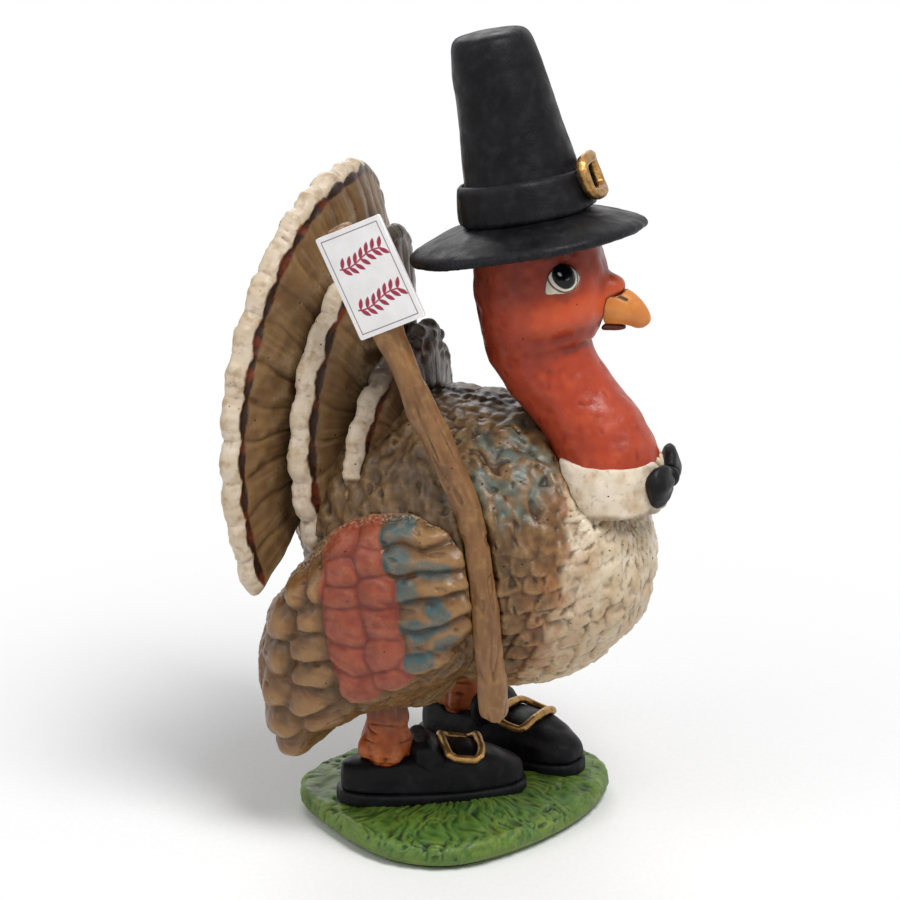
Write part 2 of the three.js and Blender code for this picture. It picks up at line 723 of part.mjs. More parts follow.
// Hat
const hatPlace = new THREE.Matrix4()
  .makeTranslation(HEAD_TOP.x - HAT_SETBACK, 0, HEAD_TOP.z + HAT_SEAT)
  .multiply(new THREE.Matrix4().makeRotationX(-rad(HAT_ROLL)))
  .multiply(new THREE.Matrix4().makeRotationY(-rad(HAT_TILT)));
const crownPlace = hatPlace
  .clone()
  .multiply(new THREE.Matrix4().makeTranslation(CROWN_AHEAD, 0, 0))
  .multiply(new THREE.Matrix4().makeShear(0, 0, 0, 0, -Math.tan(rad(CROWN_LEAN)), 0))
  .multiply(new THREE.Matrix4().makeRotationZ(rad(HEAD_TURN)));
const crownRadius = (z) => THREE.MathUtils.mapLinear(z, 0, CROWN_HEIGHT, CROWN_BASE_RADIUS, CROWN_TOP_RADIUS);
const HAT_SIDES = 32;

function brimForm() {
  const edge = BRIM_THICKNESS * 0.42;
  const outward = (r) => Math.max(0, (r - CROWN_BASE_RADIUS) / (BRIM_RADIUS - CROWN_BASE_RADIUS));
  const drop = (r) => -BRIM_DROOP * outward(r) ** 1.3;
  const shares = [0, 0.5, 1];
  const reach = BRIM_RADIUS - edge;
  const top = shares.map((share) => {
    const r = THREE.MathUtils.lerp(CROWN_BASE_RADIUS, reach, share);
    return [r, drop(r)];
  });
  const depth = (share) => THREE.MathUtils.lerp(BRIM_THICKNESS, 2 * edge, share);
  const under = top.map(([r, z], i) => [r, z - depth(shares[i])]).reverse();
  const rim = [60, 0, -60].map((turn) => [
    reach + edge * Math.cos(rad(turn)),
    drop(reach) - edge + edge * Math.sin(rad(turn)),
  ]);
  const profile = [[0, 0], ...top, ...rim, ...under, [0, -BRIM_THICKNESS]];
  return placed(lathe(profile.reverse(), HAT_SIDES), hatPlace);
}

function crownForm(grow = 0) {
  const top = CROWN_HEIGHT - CROWN_ROUND;
  const side = (z) => crownRadius(z) + grow;
  const profile = [
    [0, GLUE_GAP - grow],
    [side(0), GLUE_GAP - grow],
    [side(top / 2), top / 2],
    [side(top), top],
    [side(top) - CROWN_ROUND * 0.3, top + CROWN_ROUND * 0.7],
    [side(top) - CROWN_ROUND, CROWN_HEIGHT + grow],
    [0, CROWN_HEIGHT + CROWN_ROUND * 0.3 + grow],
  ];
  return placed(lathe(profile, HAT_SIDES), crownPlace);
}

function bandForm(grow = 0) {
  const inner = (z) => crownRadius(z) + GLUE_GAP - grow;
  const outer = (z) => crownRadius(z) + GLUE_GAP + BAND_THICKNESS + grow;
  const low = 2 * GLUE_GAP - grow;
  const high = BAND_HEIGHT + grow;
  const bevel = BAND_THICKNESS * 0.35;
  const profile = [
    [inner(low), low],
    [outer(low) - bevel, low],
    [outer(low), low + bevel],
    [outer(high), high - bevel],
    [outer(high) - bevel, high],
    [inner(high), high],
    [inner(low), low],
  ];
  return placed(lathe(profile, HAT_SIDES), crownPlace);
}

function hatBuckleForm() {
  const points = frameShares(28).map(([across, up]) => {
    const z = BAND_HEIGHT * 0.5 + HAT_BUCKLE_WIRE * 0.8 + (up * HAT_BUCKLE_HEIGHT) / 2;
    const skin = crownRadius(z) + BAND_THICKNESS + HAT_BUCKLE_WIRE + GLUE_GAP;
    const y = (across * HAT_BUCKLE_WIDTH) / 2;
    return vec(Math.sqrt(skin * skin - y * y), y, z + HAT_BUCKLE_WIRE);
  });
  return placed(wireLoop(points, HAT_BUCKLE_WIRE, 32), crownPlace);
}

const hatRod = (grow = 0) =>
  placed(rod(vec(0, 0, -HAT_SEAT - HAT_ROD_INTO_HEAD), vec(0, 0, CROWN_HEIGHT * 0.4), grow), crownPlace);

// Sign staff: a straight upper length and a lower one that drops along the flank
const STAFF_Y = -(BODY_HALF_WIDTH - STAFF_RADIUS);
const staffDirection = vec(-Math.sin(rad(STAFF_LEAN)), 0, Math.cos(rad(STAFF_LEAN)));
const staffElbow = vec(STAFF_ELBOW.x, STAFF_Y, STAFF_ELBOW.z);
const staffTop = staffElbow.clone().addScaledVector(staffDirection, STAFF_UPPER);
function staffForm(grow = 0) {
  const at = (point, size) => ({ middle: point, wide: STAFF_RADIUS * size, high: STAFF_RADIUS * size });
  const lower = (share, ahead, out) =>
    staffElbow.clone().add(vec(ahead, -out, -STAFF_LOWER * share));
  const upper = (share) => staffElbow.clone().lerp(staffTop, share);
  return sweep(
    [
      at(lower(1, 10.3, -3), 0.72),
      at(lower(0.97, 10.3, -2.5), 0.95),
      at(lower(0.55, 10, 3), 1),
      at(lower(0.25, 7, 3), 0.95),
      at(staffElbow, 1.02),
      at(upper(0.35), 1.1),
      at(upper(0.7), 1.05),
      at(upper(0.98), 1.05),
      at(upper(1), 0.8),
    ],
    12,
    2,
    grow,
  );
}

const cardPlace = new THREE.Matrix4()
  .makeTranslation(...staffTop.clone().addScaledVector(staffDirection, -CARD_BELOW_TOP - CARD_HEIGHT / 2))
  .multiply(new THREE.Matrix4().makeRotationY(-rad(STAFF_LEAN)))
  .multiply(new THREE.Matrix4().makeTranslation(CARD_ASIDE, -STAFF_RADIUS, 0));
function cardForm(grow = 0) {
  const sizes = [CARD_WIDTH, CARD_THICKNESS, CARD_HEIGHT].map((size) => size + 2 * grow);
  return solid(new THREE.BoxGeometry(...sizes).applyMatrix4(cardPlace));
}

// Assembly
const fullBody = bodyForm(GLUE_GAP);
const fullNeck = neckForm(GLUE_GAP);
const staffRoom = staffForm(GLUE_GAP);

const feet = new THREE.Group();
root.add(feet);
let grass = grassForm();
let body = less(bodyForm(), fullNeck, staffRoom, neckRod(GLUE_GAP));
for (const [side, foot] of Object.entries(FEET)) {
  const place = shoePlace(foot);
  const leg = legForm(foot, GLUE_GAP);
  const pin = legRod(foot, GLUE_GAP);
  const shoe = (form) => placed(form, place);
  const upper = shoe(upperForm(GLUE_GAP));
  grass = less(grass, shoe(soleForm(GLUE_GAP)), pin);
  body = less(body, leg, pin);
  add(`${side}_leg_rod`, legRod(foot), "steel", feet);
  add(`${side}_leg`, less(legForm(foot), pin), "leg", feet);
  add(`${side}_shoe_sole`, less(shoe(soleForm()), pin), "black", feet);
  add(`${side}_shoe_upper`, less(shoe(upperForm()), leg), "black", feet);
  add(`${side}_shoe_tongue`, less(shoe(tongueForm()), leg, upper, fullBody), "black", feet);
  add(`${side}_shoe_buckle`, less(shoe(shoeBuckleForm()), upper), "gold", feet);
}
add("base_felt", feltForm(), "felt");
add("grass_base", grass, "grass");
add("body", body, "feather");

const wingRoom = { right: wingForm(-1, GLUE_GAP), left: wingForm(1, GLUE_GAP) };
const legRoom = Object.values(FEET).map((foot) => legForm(foot, GLUE_GAP));
add("right_wing", less(wingForm(-1), fullBody, staffRoom, ...legRoom), "feather");
add("left_wing", less(wingForm(1), fullBody, ...legRoom), "feather");

const tail = new THREE.Group();
root.add(tail);
let behind = [fullBody, wingRoom.right, wingRoom.left];
for (const [name, tier] of Object.entries(TIERS)) {
  add(`tail_fan_${name}`, less(tierForm(tier), ...behind), "fan", tail);
  behind = [...behind, tierForm(tier, GLUE_GAP)];
}

const head = new THREE.Group();
root.add(head);
const beakRoom = upperBeakForm(GLUE_GAP);
let neck = less(neckForm(), neckRod(GLUE_GAP), hatRod(GLUE_GAP));
for (const [name, side] of [
  ["right", -1],
  ["left", 1],
]) {
  neck = less(neck, eyeForm(side, GLUE_GAP), pupilForm(side, GLUE_GAP));
  add(`${name}_eye`, less(eyeForm(side), pupilForm(side, GLUE_GAP)), "eye", head);
  add(`${name}_pupil`, pupilForm(side), "pupil", head);
}
add("neck_rod", neckRod(), "steel", head);
add("head_and_neck", neck, "skin", head);
add("upper_beak", less(upperBeakForm(), fullNeck), "beak", head);
add("lower_beak", less(lowerBeakForm(), fullNeck, beakRoom), "skin", head);

const collarRoom = collarForm(GLUE_GAP);
const knotRoom = knotForm(GLUE_GAP);
add("collar", less(collarForm(), fullNeck, fullBody), "cream");
add("bow_knot", less(knotForm(), collarRoom, fullBody), "black");
add("bow_right_loop", less(bowLoopForm(-1), knotRoom, collarRoom, fullBody), "black");
add("bow_left_loop", less(bowLoopForm(1), knotRoom, collarRoom, fullBody), "black");

const hat = new THREE.Group();
root.add(hat);
add("hat_rod", hatRod(), "steel", hat);
add("hat_brim", less(brimForm(), fullNeck, hatRod(GLUE_GAP)), "black", hat);
add("hat_crown", less(crownForm(), fullNeck, hatRod(GLUE_GAP)), "black", hat);
add("hat_band", bandForm(), "black", hat);
add("hat_buckle", less(hatBuckleForm(), bandForm(GLUE_GAP), crownForm(GLUE_GAP)), "gold", hat);

add("sign_staff", less(staffForm(), cardForm(GLUE_GAP)), "wood");
add("sign_card", cardForm(), "card");

export default root;
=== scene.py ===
import itertools
import math

import bpy
import numpy as np
from mathutils import Matrix, Vector
from mathutils.bvhtree import BVHTree
from mathutils.kdtree import KDTree


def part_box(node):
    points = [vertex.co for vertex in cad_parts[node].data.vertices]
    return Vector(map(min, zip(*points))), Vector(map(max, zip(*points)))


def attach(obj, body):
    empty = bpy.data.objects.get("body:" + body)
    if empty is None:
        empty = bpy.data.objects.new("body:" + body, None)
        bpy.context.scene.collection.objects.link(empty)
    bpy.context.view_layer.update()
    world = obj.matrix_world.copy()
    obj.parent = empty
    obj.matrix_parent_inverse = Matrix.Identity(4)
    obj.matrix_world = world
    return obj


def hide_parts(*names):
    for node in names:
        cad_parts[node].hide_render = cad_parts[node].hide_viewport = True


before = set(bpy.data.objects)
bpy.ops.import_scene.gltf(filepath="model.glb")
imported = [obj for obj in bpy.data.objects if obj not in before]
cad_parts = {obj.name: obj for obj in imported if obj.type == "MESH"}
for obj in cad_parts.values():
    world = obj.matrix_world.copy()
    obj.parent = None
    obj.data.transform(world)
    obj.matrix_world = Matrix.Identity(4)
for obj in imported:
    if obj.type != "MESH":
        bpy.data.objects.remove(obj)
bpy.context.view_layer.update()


# Felt pad: a thin green-black pad cut a little smaller than the base and glued under it,
# so that the casting doesn't scratch a shelf. Its solid is right as it is and only gets its nap.
def pigment(code):
    """A paint colour given as six hex digits, in the renderer's own scale."""
    shares = [int(code[i : i + 2], 16) / 255 for i in (0, 2, 4)]
    bent = [s / 12.92 if s <= 0.04045 else ((s + 0.055) / 1.055) ** 2.4 for s in shares]
    return (*bent, 1.0)


def new_finish(name):
    """An empty finish, its node tree and its shader."""
    finish = bpy.data.materials.new(name)
    finish.use_nodes = True
    return finish, finish.node_tree, finish.node_tree.nodes["Principled BSDF"]


def add_node(tree, kind, inputs=(), **settings):
    """A node with its settings, and each input set to a value or joined to another node's output."""
    made = tree.nodes.new("ShaderNode" + kind)
    for setting, value in settings.items():
        setattr(made, setting, value)
    for socket, value in dict(inputs).items():
        if isinstance(value, bpy.types.NodeSocket):
            tree.links.new(value, made.inputs[socket])
        else:
            made.inputs[socket].default_value = value
    return made


def laid_over(tree, under, over, amount):
    """One colour laid over another by an amount."""
    return add_node(tree, "MixRGB", {"Fac": amount, "Color1": under, "Color2": over}).outputs["Color"]


def remap(tree, value, low, high, start=0.0, end=1.0):
    """A value from low to high, spread from start to end and held there."""
    sockets = {"Value": value, "From Min": low, "From Max": high, "To Min": start, "To Max": end}
    return add_node(tree, "MapRange", sockets).outputs["Result"]


def places(tree, stretch=(1, 1, 1)):
    """Places on the piece in metres, drawn out or squeezed along each axis."""
    where = add_node(tree, "TexCoord").outputs["Object"]
    return add_node(tree, "Mapping", {"Vector": where, "Scale": stretch}).outputs["Vector"]


def mottle(tree, size, low=0.35, high=0.65, detail=3.0, stretch=(1, 1, 1)):
    """Cloudy patches of about that size in metres, from 0 to 1."""
    sockets = {"Vector": places(tree, stretch), "Scale": 1 / size, "Detail": detail}
    cloud = add_node(tree, "TexNoise", sockets).outputs["Fac"]
    return remap(tree, cloud, low, high)


def relief(tree, shader, height, depth, under=None):
    """Fine relief of that depth in metres on the shader, over another relief if one is given."""
    sockets = {"Height": height, "Distance": depth, "Strength": 1.0}
    if under is not None:
        sockets["Normal"] = under
    normal = add_node(tree, "Bump", sockets).outputs["Normal"]
    tree.links.new(normal, shader.inputs["Normal"])
    return normal


def cover(piece, finish):
    """Gives a piece one finish all over."""
    piece.data.materials.clear()
    piece.data.materials.append(finish)


MM = 0.001
FELT_FIBRE = 0.6 * MM
FELT_NAP_DEPTH = 0.4 * MM
felt_finish, felt_tree, felt_shader = new_finish("felt nap")
felt_nap = mottle(felt_tree, FELT_FIBRE, low=0.3, high=0.7, detail=5.0)
felt_colour = laid_over(felt_tree, pigment("262e24"), pigment("3d4836"), felt_nap)
felt_tree.links.new(felt_colour, felt_shader.inputs["Base Color"])
felt_shader.inputs["Roughness"].default_value = 0.95
felt_shader.inputs["Sheen Weight"].default_value = 0.4
relief(felt_tree, felt_shader, felt_nap, FELT_NAP_DEPTH)
cover(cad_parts["base_felt"], felt_finish)


# Grass base: a low resin disc with a wavy edge and a rough top, worked with a modelling tool into
# short strokes and clods, then painted green, washed dark and brushed with yellow-green.
def chance_at(cells):
    """A random share from 0 to 1 for each cell of a grid, the same on every run."""
    mixed = cells[:, 0] * 73856093 ^ cells[:, 1] * 19349663 ^ cells[:, 2] * 83492791
    mixed = (mixed ^ (mixed >> 13)) * 2654435761 & 0xFFFFFFFF
    return (mixed >> 9 & 0xFFFF) / 65535


def lumps(points, size, seed):
    """Smooth random swells of about that size over points, from -1 to 1."""
    spot = np.asarray(points, float) / size + seed * 17.31
    corner = np.floor(spot).astype(np.int64)
    part = spot - corner
    part = part * part * (3 - 2 * part)
    total = np.zeros(len(spot))
    for step in itertools.product((0, 1), repeat=3):
        value = 2 * chance_at(corner + np.array(step)) - 1
        total += value * np.prod(np.where(step, part, 1 - part), axis=1)
    return total


def eased(value, low, high):
    """0 below low, 1 above high, and an even bend between them."""
    share = np.clip((np.asarray(value, float) - low) / (high - low), 0, 1)
    return share * share * (3 - 2 * share)


def patches(points, size, seed, low, high):
    """Soft-edged random patches of about that size, 0 off them and 1 on them."""
    return eased(lumps(points, size, seed), low, high)


def veins(points, size, seed, width):
    """Random wandering lines, 1 along them and 0 off them."""
    return np.clip(1 - np.abs(lumps(points, size, seed)) / width, 0, 1)


def skin_rings(name, rings):
    """A closed piece over a stack of rings, with a point at each end."""
    rows, sides = rings.shape[:2]
    points = np.concatenate([rings.reshape(-1, 3), rings[:1].mean(1), rings[-1:].mean(1)])
    row, side = np.meshgrid(np.arange(rows - 1), np.arange(sides), indexing="ij")
    a = row * sides + side
    b = row * sides + (side + 1) % sides
    quads = np.stack([a, b, b + sides, a + sides], -1).reshape(-1, 4)
    turn = np.arange(sides)
    after = (turn + 1) % sides
    last = (rows - 1) * sides
    first_cap = np.stack([after, turn, np.full(sides, rows * sides)], 1)
    last_cap = np.stack([last + turn, last + after, np.full(sides, rows * sides + 1)], 1)
    corners = points[quads]
    volume = np.einsum("ij,ij->", corners[:, 0], np.cross(corners[:, 1], corners[:, 2]))
    volume += np.einsum("ij,ij->", corners[:, 0], np.cross(corners[:, 2], corners[:, 3]))
    faces = [face.tolist() for face in (quads, first_cap, last_cap)]
    faces = [face if volume > 0 else face[::-1] for face in itertools.chain(*faces)]
    mesh = bpy.data.meshes.new(name)
    mesh.from_pydata(points.tolist(), [], faces)
    mesh.shade_smooth()
    piece = bpy.data.objects.new(name, mesh)
    bpy.context.scene.collection.objects.link(piece)
    return piece


def points_of(piece):
    """The places of all points of a piece."""
    found = np.empty(len(piece.data.vertices) * 3)
    piece.data.vertices.foreach_get("co", found)
    return found.reshape(-1, 3)


def outward(piece):
    """The way out of the skin at each of its points."""
    found = np.empty(len(piece.data.vertices) * 3, np.float32)
    piece.data.vertex_normals.foreach_get("vector", found)
    return found.reshape(-1, 3).astype(float)


def shape(piece, points):
    """Moves the points of a piece to new places."""
    piece.data.vertices.foreach_set("co", np.asarray(points, np.float32).ravel())
    piece.data.update()


def raise_skin(piece, heights):
    """Moves each point of the skin out by its own height."""
    shape(piece, points_of(piece) + outward(piece) * np.asarray(heights)[:, None])


def mark(piece, name, values):
    """Keeps a painted area on the piece, from 0 to 1 at each point, for its finish to read."""
    spots = piece.data.attributes.new(name, "FLOAT", "POINT")
    spots.data.foreach_set("value", np.clip(values, 0, 1).astype(np.float32))


def rubbed(piece, points, rounds):
    """Points evened out towards their neighbours on the piece, so many times."""
    pairs = np.empty(len(piece.data.edges) * 2, np.int64)
    piece.data.edges.foreach_get("vertices", pairs)
    first, second = pairs.reshape(-1, 2).T
    size = len(points)
    count = np.bincount(pairs, minlength=size)
    for _ in range(rounds):
        near = [
            np.bincount(first, points[second, k], size) + np.bincount(second, points[first, k], size)
            for k in range(3)
        ]
        points = points + 0.5 * (np.stack(near, 1) / count[:, None] - points)
    return points


def mark_wash_wear_and_shade(piece, rounds=8, depth=0.25 * MM, broad=0):
    """Marks the hollows where a wash settles and the ridges that a dry brush catches: fine ones
    and, with some more rounds of rubbing, broad ones, which add painted shade in the wide hollows
    between forms and a painted highlight on their crests."""
    points = points_of(piece)
    out = outward(piece)
    near = rubbed(piece, points, rounds)
    sunk = ((near - points) * out).sum(1) / depth
    if broad:
        sunk = sunk + ((rubbed(piece, near, broad) - points) * out).sum(1) / (3 * depth)
    mark(piece, "hollow", sunk)
    mark(piece, "ridge", -sunk)


def marked(tree, name):
    """A painted area that was kept on the piece."""
    return add_node(tree, "Attribute", attribute_name=name).outputs["Fac"]


def times(tree, first, second):
    """The product of two amounts."""
    return add_node(tree, "Math", {0: first, 1: second}, operation="MULTIPLY").outputs["Value"]


def two_tone(tree, one, other, size, **edges):
    """Two paints that run into each other in cloudy patches of about that size."""
    return laid_over(tree, pigment(one), pigment(other), mottle(tree, size, **edges))


def dabbed(tree, under, code, share, **cloud):
    """A share of another paint dabbed on in cloudy patches."""
    return laid_over(tree, under, pigment(code), times(tree, mottle(tree, **cloud), share))


def uneven(tree, size, low, high):
    """An amount that drifts between low and high in cloudy patches."""
    return remap(tree, mottle(tree, size), 0, 1, low, high)


def pin_holes(tree, size, share):
    """Air pin holes of the casting: dark ragged dots in some of the cells of that size."""
    ragged = add_node(tree, "TexNoise", {"Vector": places(tree), "Scale": 900.0}).outputs["Color"]
    stray = {0: ragged, 1: (0.9 * MM, 0.9 * MM, 0.9 * MM)}
    shaken = add_node(tree, "VectorMath", stray, operation="MULTIPLY")
    spots = add_node(tree, "VectorMath", {0: places(tree), 1: shaken.outputs["Vector"]}).outputs["Vector"]
    cells = add_node(tree, "TexVoronoi", {"Vector": spots, "Scale": 1 / size})
    dot = remap(tree, cells.outputs["Distance"], 0.05, 0.16, 1.0, 0.0)
    pick = add_node(tree, "SeparateColor", {"Color": cells.outputs["Color"]}).outputs["Red"]
    return times(tree, dot, remap(tree, pick, share, share + 0.02, 1.0, 0.0))


def varnished(name, roughness, patch, shine=0.5, metal=0.0):
    """An empty finish whose gloss goes from one roughness to another in patches of that size."""
    finish, tree, shader = new_finish(name)
    tree.links.new(uneven(tree, patch, *roughness), shader.inputs["Roughness"])
    shader.inputs["Specular IOR Level"].default_value = shine
    shader.inputs["Metallic"].default_value = metal
    return finish, tree, shader


def painted(name, coat, wash, dry, roughness, wash_share, dry_share, holes, shine=0.4):
    """Finish of a painted casting: its coat, a dark wash in the hollows, a pale dry brush on the
    ridges, pin holes, brush marks and an uneven satin varnish. In the broad hollows the wash is painted
    shade, and on the broad crests the dry brush is a painted highlight."""
    finish, tree, shader = varnished(name, (roughness - 0.09, roughness + 0.09), 6 * MM, shine)
    colour = coat(tree)
    pooled = uneven(tree, 4 * MM, 0.6 * wash_share, wash_share)
    wash_colour = wash(tree) if callable(wash) else pigment(wash)
    colour = laid_over(tree, colour, wash_colour, times(tree, marked(tree, "hollow"), pooled))
    dragged = uneven(tree, 1.2 * MM, 0.1, dry_share)
    dry_colour = dry(tree) if callable(dry) else pigment(dry)
    colour = laid_over(tree, colour, dry_colour, times(tree, marked(tree, "ridge"), dragged))
    holed = pin_holes(tree, 3 * MM, holes)
    colour = laid_over(tree, colour, pigment("1d150f"), holed)
    tree.links.new(colour, shader.inputs["Base Color"])
    brushed = relief(tree, shader, mottle(tree, 1.1 * MM, low=0.2, high=0.8, detail=4.0), 0.06 * MM)
    relief(tree, shader, remap(tree, holed, 0, 1, 1.0, 0.0), 0.3 * MM, brushed)
    return finish


def dress(piece, finish, slot, *nodes):
    """Gives a piece its finish, sets it on the figure and lets it stand for its solids."""
    cover(piece, finish)
    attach(piece, "root")
    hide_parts(*nodes)


BASE_SIDES = 460
BASE_EDGE_ROUND = 4 * MM
BASE_FOOT_INSET = 2 * MM
BASE_CROWN = 3 * MM
BASE_CROWN_INSET = 30 * MM
BASE_EDGE_RUBS = 60
base_low, base_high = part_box("grass_base")
base_rim = base_high.z - BASE_CROWN
base_solid = np.array([v.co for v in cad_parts["grass_base"].data.vertices])
base_side = base_solid[np.abs(base_solid[:, 2] - (base_rim - BASE_EDGE_ROUND)) < 0.1 * MM]
base_turns = np.arctan2(base_side[:, 1], base_side[:, 0])
base_order = np.argsort(base_turns)
turns = np.linspace(-math.pi, math.pi, BASE_SIDES, endpoint=False)
base_reach = np.interp(
    turns,
    base_turns[base_order],
    np.hypot(base_side[:, 0], base_side[:, 1])[base_order],
    period=2 * math.pi,
)
for _ in range(BASE_EDGE_RUBS):
    base_reach = (np.roll(base_reach, 1) + base_reach * 2 + np.roll(base_reach, -1)) / 4

base_profile = [(s, BASE_FOOT_INSET, base_low.z) for s in np.linspace(0.05, 1, 8)]
base_profile += [
    (1, BASE_FOOT_INSET * (1 - s), base_low.z + BASE_EDGE_ROUND * 0.6 * s)
    for s in np.linspace(0.2, 1, 5)
]
for share in np.linspace(0, 1, 14):
    lift = BASE_EDGE_ROUND * math.sin(share * math.pi / 2)
    inset = BASE_EDGE_ROUND * (1 - math.cos(share * math.pi / 2))
    base_profile.append((1, inset, base_rim - BASE_EDGE_ROUND + lift))
for share in np.linspace(0.03, 1, 44):
    inset = BASE_EDGE_ROUND + share * (BASE_CROWN_INSET - BASE_EDGE_ROUND)
    base_profile.append((1, inset, base_rim + BASE_CROWN * math.sin(share * math.pi / 2)))
base_profile += [(s, BASE_CROWN_INSET, base_high.z) for s in np.linspace(0.97, 0.04, 30)]
base_rings = []
for share, inset, height in base_profile:
    ring_reach = share * (base_reach - inset)
    ring_height = np.full(BASE_SIDES, height)
    base_rings.append(np.stack([ring_reach * np.cos(turns), ring_reach * np.sin(turns), ring_height], 1))
grass = skin_rings("grass_base_cast", np.array(base_rings))
grass_points = points_of(grass)
above_foot = eased(grass_points[:, 2], base_low.z + 0.4 * MM, base_low.z + 3 * MM)
grass_turn = np.arctan2(grass_points[:, 1], grass_points[:, 0])
grass_reach = np.hypot(grass_points[:, 0], grass_points[:, 1])
bend = lumps(grass_points, 10 * MM, 3) * 4 * MM
grass_slope = grass_reach - 1.2 * grass_points[:, 2]
blade_places = np.stack([grass_turn * 50 * MM + bend, grass_slope * 0.4, grass_points[:, 2] * 0.4], 1)
blades = lumps(blade_places, 2.3 * MM, 5) + 0.6 * lumps(blade_places, 1.3 * MM, 6)
nicks = patches(blade_places * [1, 1.4, 1], 2.6 * MM, 8, 0.45, 0.8)
nicks = nicks * patches(grass_points, 11 * MM, 9, -0.35, 0.2)
gashes = veins(grass_points, 7 * MM, 10, 0.1) * patches(grass_points, 8 * MM, 4, 0.25, 0.5)
clods = lumps(grass_points, 13 * MM, 1) * 0.8 + lumps(grass_points, 5 * MM, 2) * 0.6
raise_skin(grass, above_foot * MM * (clods * 0.75 + blades * 0.42 - nicks * 1.25 - gashes * 1.15 - 0.2))
# Broad hollows get painted shade and broad crests a painted highlight.
mark_wash_wear_and_shade(grass, rounds=5, depth=0.16 * MM, broad=20)


def grass_coat(tree):
    green = two_tone(tree, "3f5a1b", "567424", 12 * MM)
    green = dabbed(tree, green, "2f6329", 0.5, size=20 * MM, low=0.45, high=0.6)
    return dabbed(tree, green, "74842a", 0.55, size=7 * MM, low=0.5, high=0.72)


grass_finish = painted(
    "grass paint",
    grass_coat,
    wash="141b09",
    dry="879a45",
    roughness=0.5,
    wash_share=0.95,
    dry_share=0.4,
    holes=0.03,
)
dress(grass, grass_finish, "grass", "grass_base")


# Shoes: a sole and an upper for each foot, cast in resin with a groove between them, and a tongue
# that stands up in front of the ankle. They are painted black, then rubbed with grey on the edges.
def cast_of(node, *set_in, grain, rounds):
    """One fine even skin over a node's solid and those set in it, with their facets rubbed smooth."""
    name = node + "_cast"
    corners = []
    faces = []
    for solid in [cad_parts[each] for each in (node, *set_in)]:
        faces += [[len(corners) + v for v in p.vertices] for p in solid.data.polygons]
        corners += [tuple(v.co) for v in solid.data.vertices]
    raw = bpy.data.meshes.new(name)
    raw.from_pydata(corners, [], faces)
    piece = bpy.data.objects.new(name, raw)
    bpy.context.scene.collection.objects.link(piece)
    remesh = piece.modifiers.new("skin", "REMESH")
    remesh.mode = "VOXEL"
    remesh.voxel_size = grain
    shown = piece.evaluated_get(bpy.context.evaluated_depsgraph_get())
    fine = bpy.data.meshes.new_from_object(shown)
    piece.modifiers.clear()
    piece.data = fine
    bpy.data.meshes.remove(raw)
    keep_outer_skin(piece)
    fine.shade_smooth()
    shape(piece, rubbed(piece, points_of(piece), rounds))
    return piece


def keep_outer_skin(piece):
    """Drops every island of faces but the widest one, such as the skin of a hollow inside."""
    mesh = piece.data
    pairs = np.empty(len(mesh.edges) * 2, np.int64)
    mesh.edges.foreach_get("vertices", pairs)
    first, second = pairs.reshape(-1, 2).T
    label = np.arange(len(mesh.vertices))
    while True:
        low = np.minimum(label[first], label[second])
        before = label.copy()
        np.minimum.at(label, first, low)
        np.minimum.at(label, second, low)
        label = label[label]
        if np.array_equal(before, label):
            break
    islands, counts = np.unique(label, return_counts=True)
    if len(islands) == 1:
        return
    kept = label == islands[np.argmax(counts)]
    polygons = [list(p.vertices) for p in mesh.polygons if kept[p.vertices[0]]]
    fresh = np.cumsum(kept) - 1
    points = points_of(piece)[kept]
    mesh.clear_geometry()
    mesh.from_pydata(points.tolist(), [], [[int(fresh[v]) for v in p] for p in polygons])


def black_coat(tree):
    black = two_tone(tree, "0b0b0d", "131315", 9 * MM)
    return dabbed(tree, black, "2b2b30", 0.5, size=5 * MM, low=0.52, high=0.75, detail=6.0)


SHOE_TURNS = {"right": math.radians(36), "left": math.radians(-7)}
TONGUE_FOOT = (29.5 * MM, 36 * MM)
TONGUE_SPREAD = 5 * MM
TONGUE_SINK = 1.5 * MM
black_finish = painted(
    "rubbed black paint",
    black_coat,
    wash="050506",
    dry="37373b",
    roughness=0.42,
    wash_share=0.8,
    dry_share=0.4,
    holes=0.012,
    shine=0.11,
)
for side, shoe_turn in SHOE_TURNS.items():
    sole = cast_of(side + "_shoe_sole", grain=0.6 * MM, rounds=8)
    raise_skin(sole, lumps(points_of(sole), 9 * MM, 11) * 0.3 * MM + 0.15 * MM)
    upper = cast_of(side + "_shoe_upper", grain=0.6 * MM, rounds=14)
    upper_points = points_of(upper)
    upper_swells = lumps(upper_points, 11 * MM, 12) * 0.5 + lumps(upper_points, 3 * MM, 13) * 0.14
    raise_skin(upper, MM * (upper_swells + 0.2))
    tongue = cast_of(side + "_shoe_tongue", grain=0.45 * MM, rounds=8)
    raise_skin(tongue, lumps(points_of(tongue), 6 * MM, 14) * 0.35 * MM + 0.15 * MM)
    tongue_points = points_of(tongue)
    toe_way = np.array([math.cos(shoe_turn), math.sin(shoe_turn), 0])
    ahead = tongue_points @ toe_way
    foot = 1 - eased(tongue_points[:, 2], *TONGUE_FOOT)
    spread = foot * eased(ahead, np.median(ahead) - 2 * MM, ahead.max()) * TONGUE_SPREAD
    tongue_points = tongue_points + spread[:, None] * toe_way
    tongue_points[:, 2] -= foot * TONGUE_SINK
    shape(tongue, tongue_points)
    for part, piece in (("sole", sole), ("upper", upper), ("tongue", tongue)):
        mark_wash_wear_and_shade(piece)
        dress(piece, black_finish, "black", f"{side}_shoe_{part}")


# Buckles: one on each shoe and one on the hat, cast as rounded frames and glued over the strap.
# They are painted bronze, with worn gold on the high edges and dark paint left in the corners.
def zoned(tree, under, code, zone, share):
    """A share of another paint laid on a marked area."""
    return laid_over(tree, under, pigment(code), times(tree, marked(tree, zone), share))


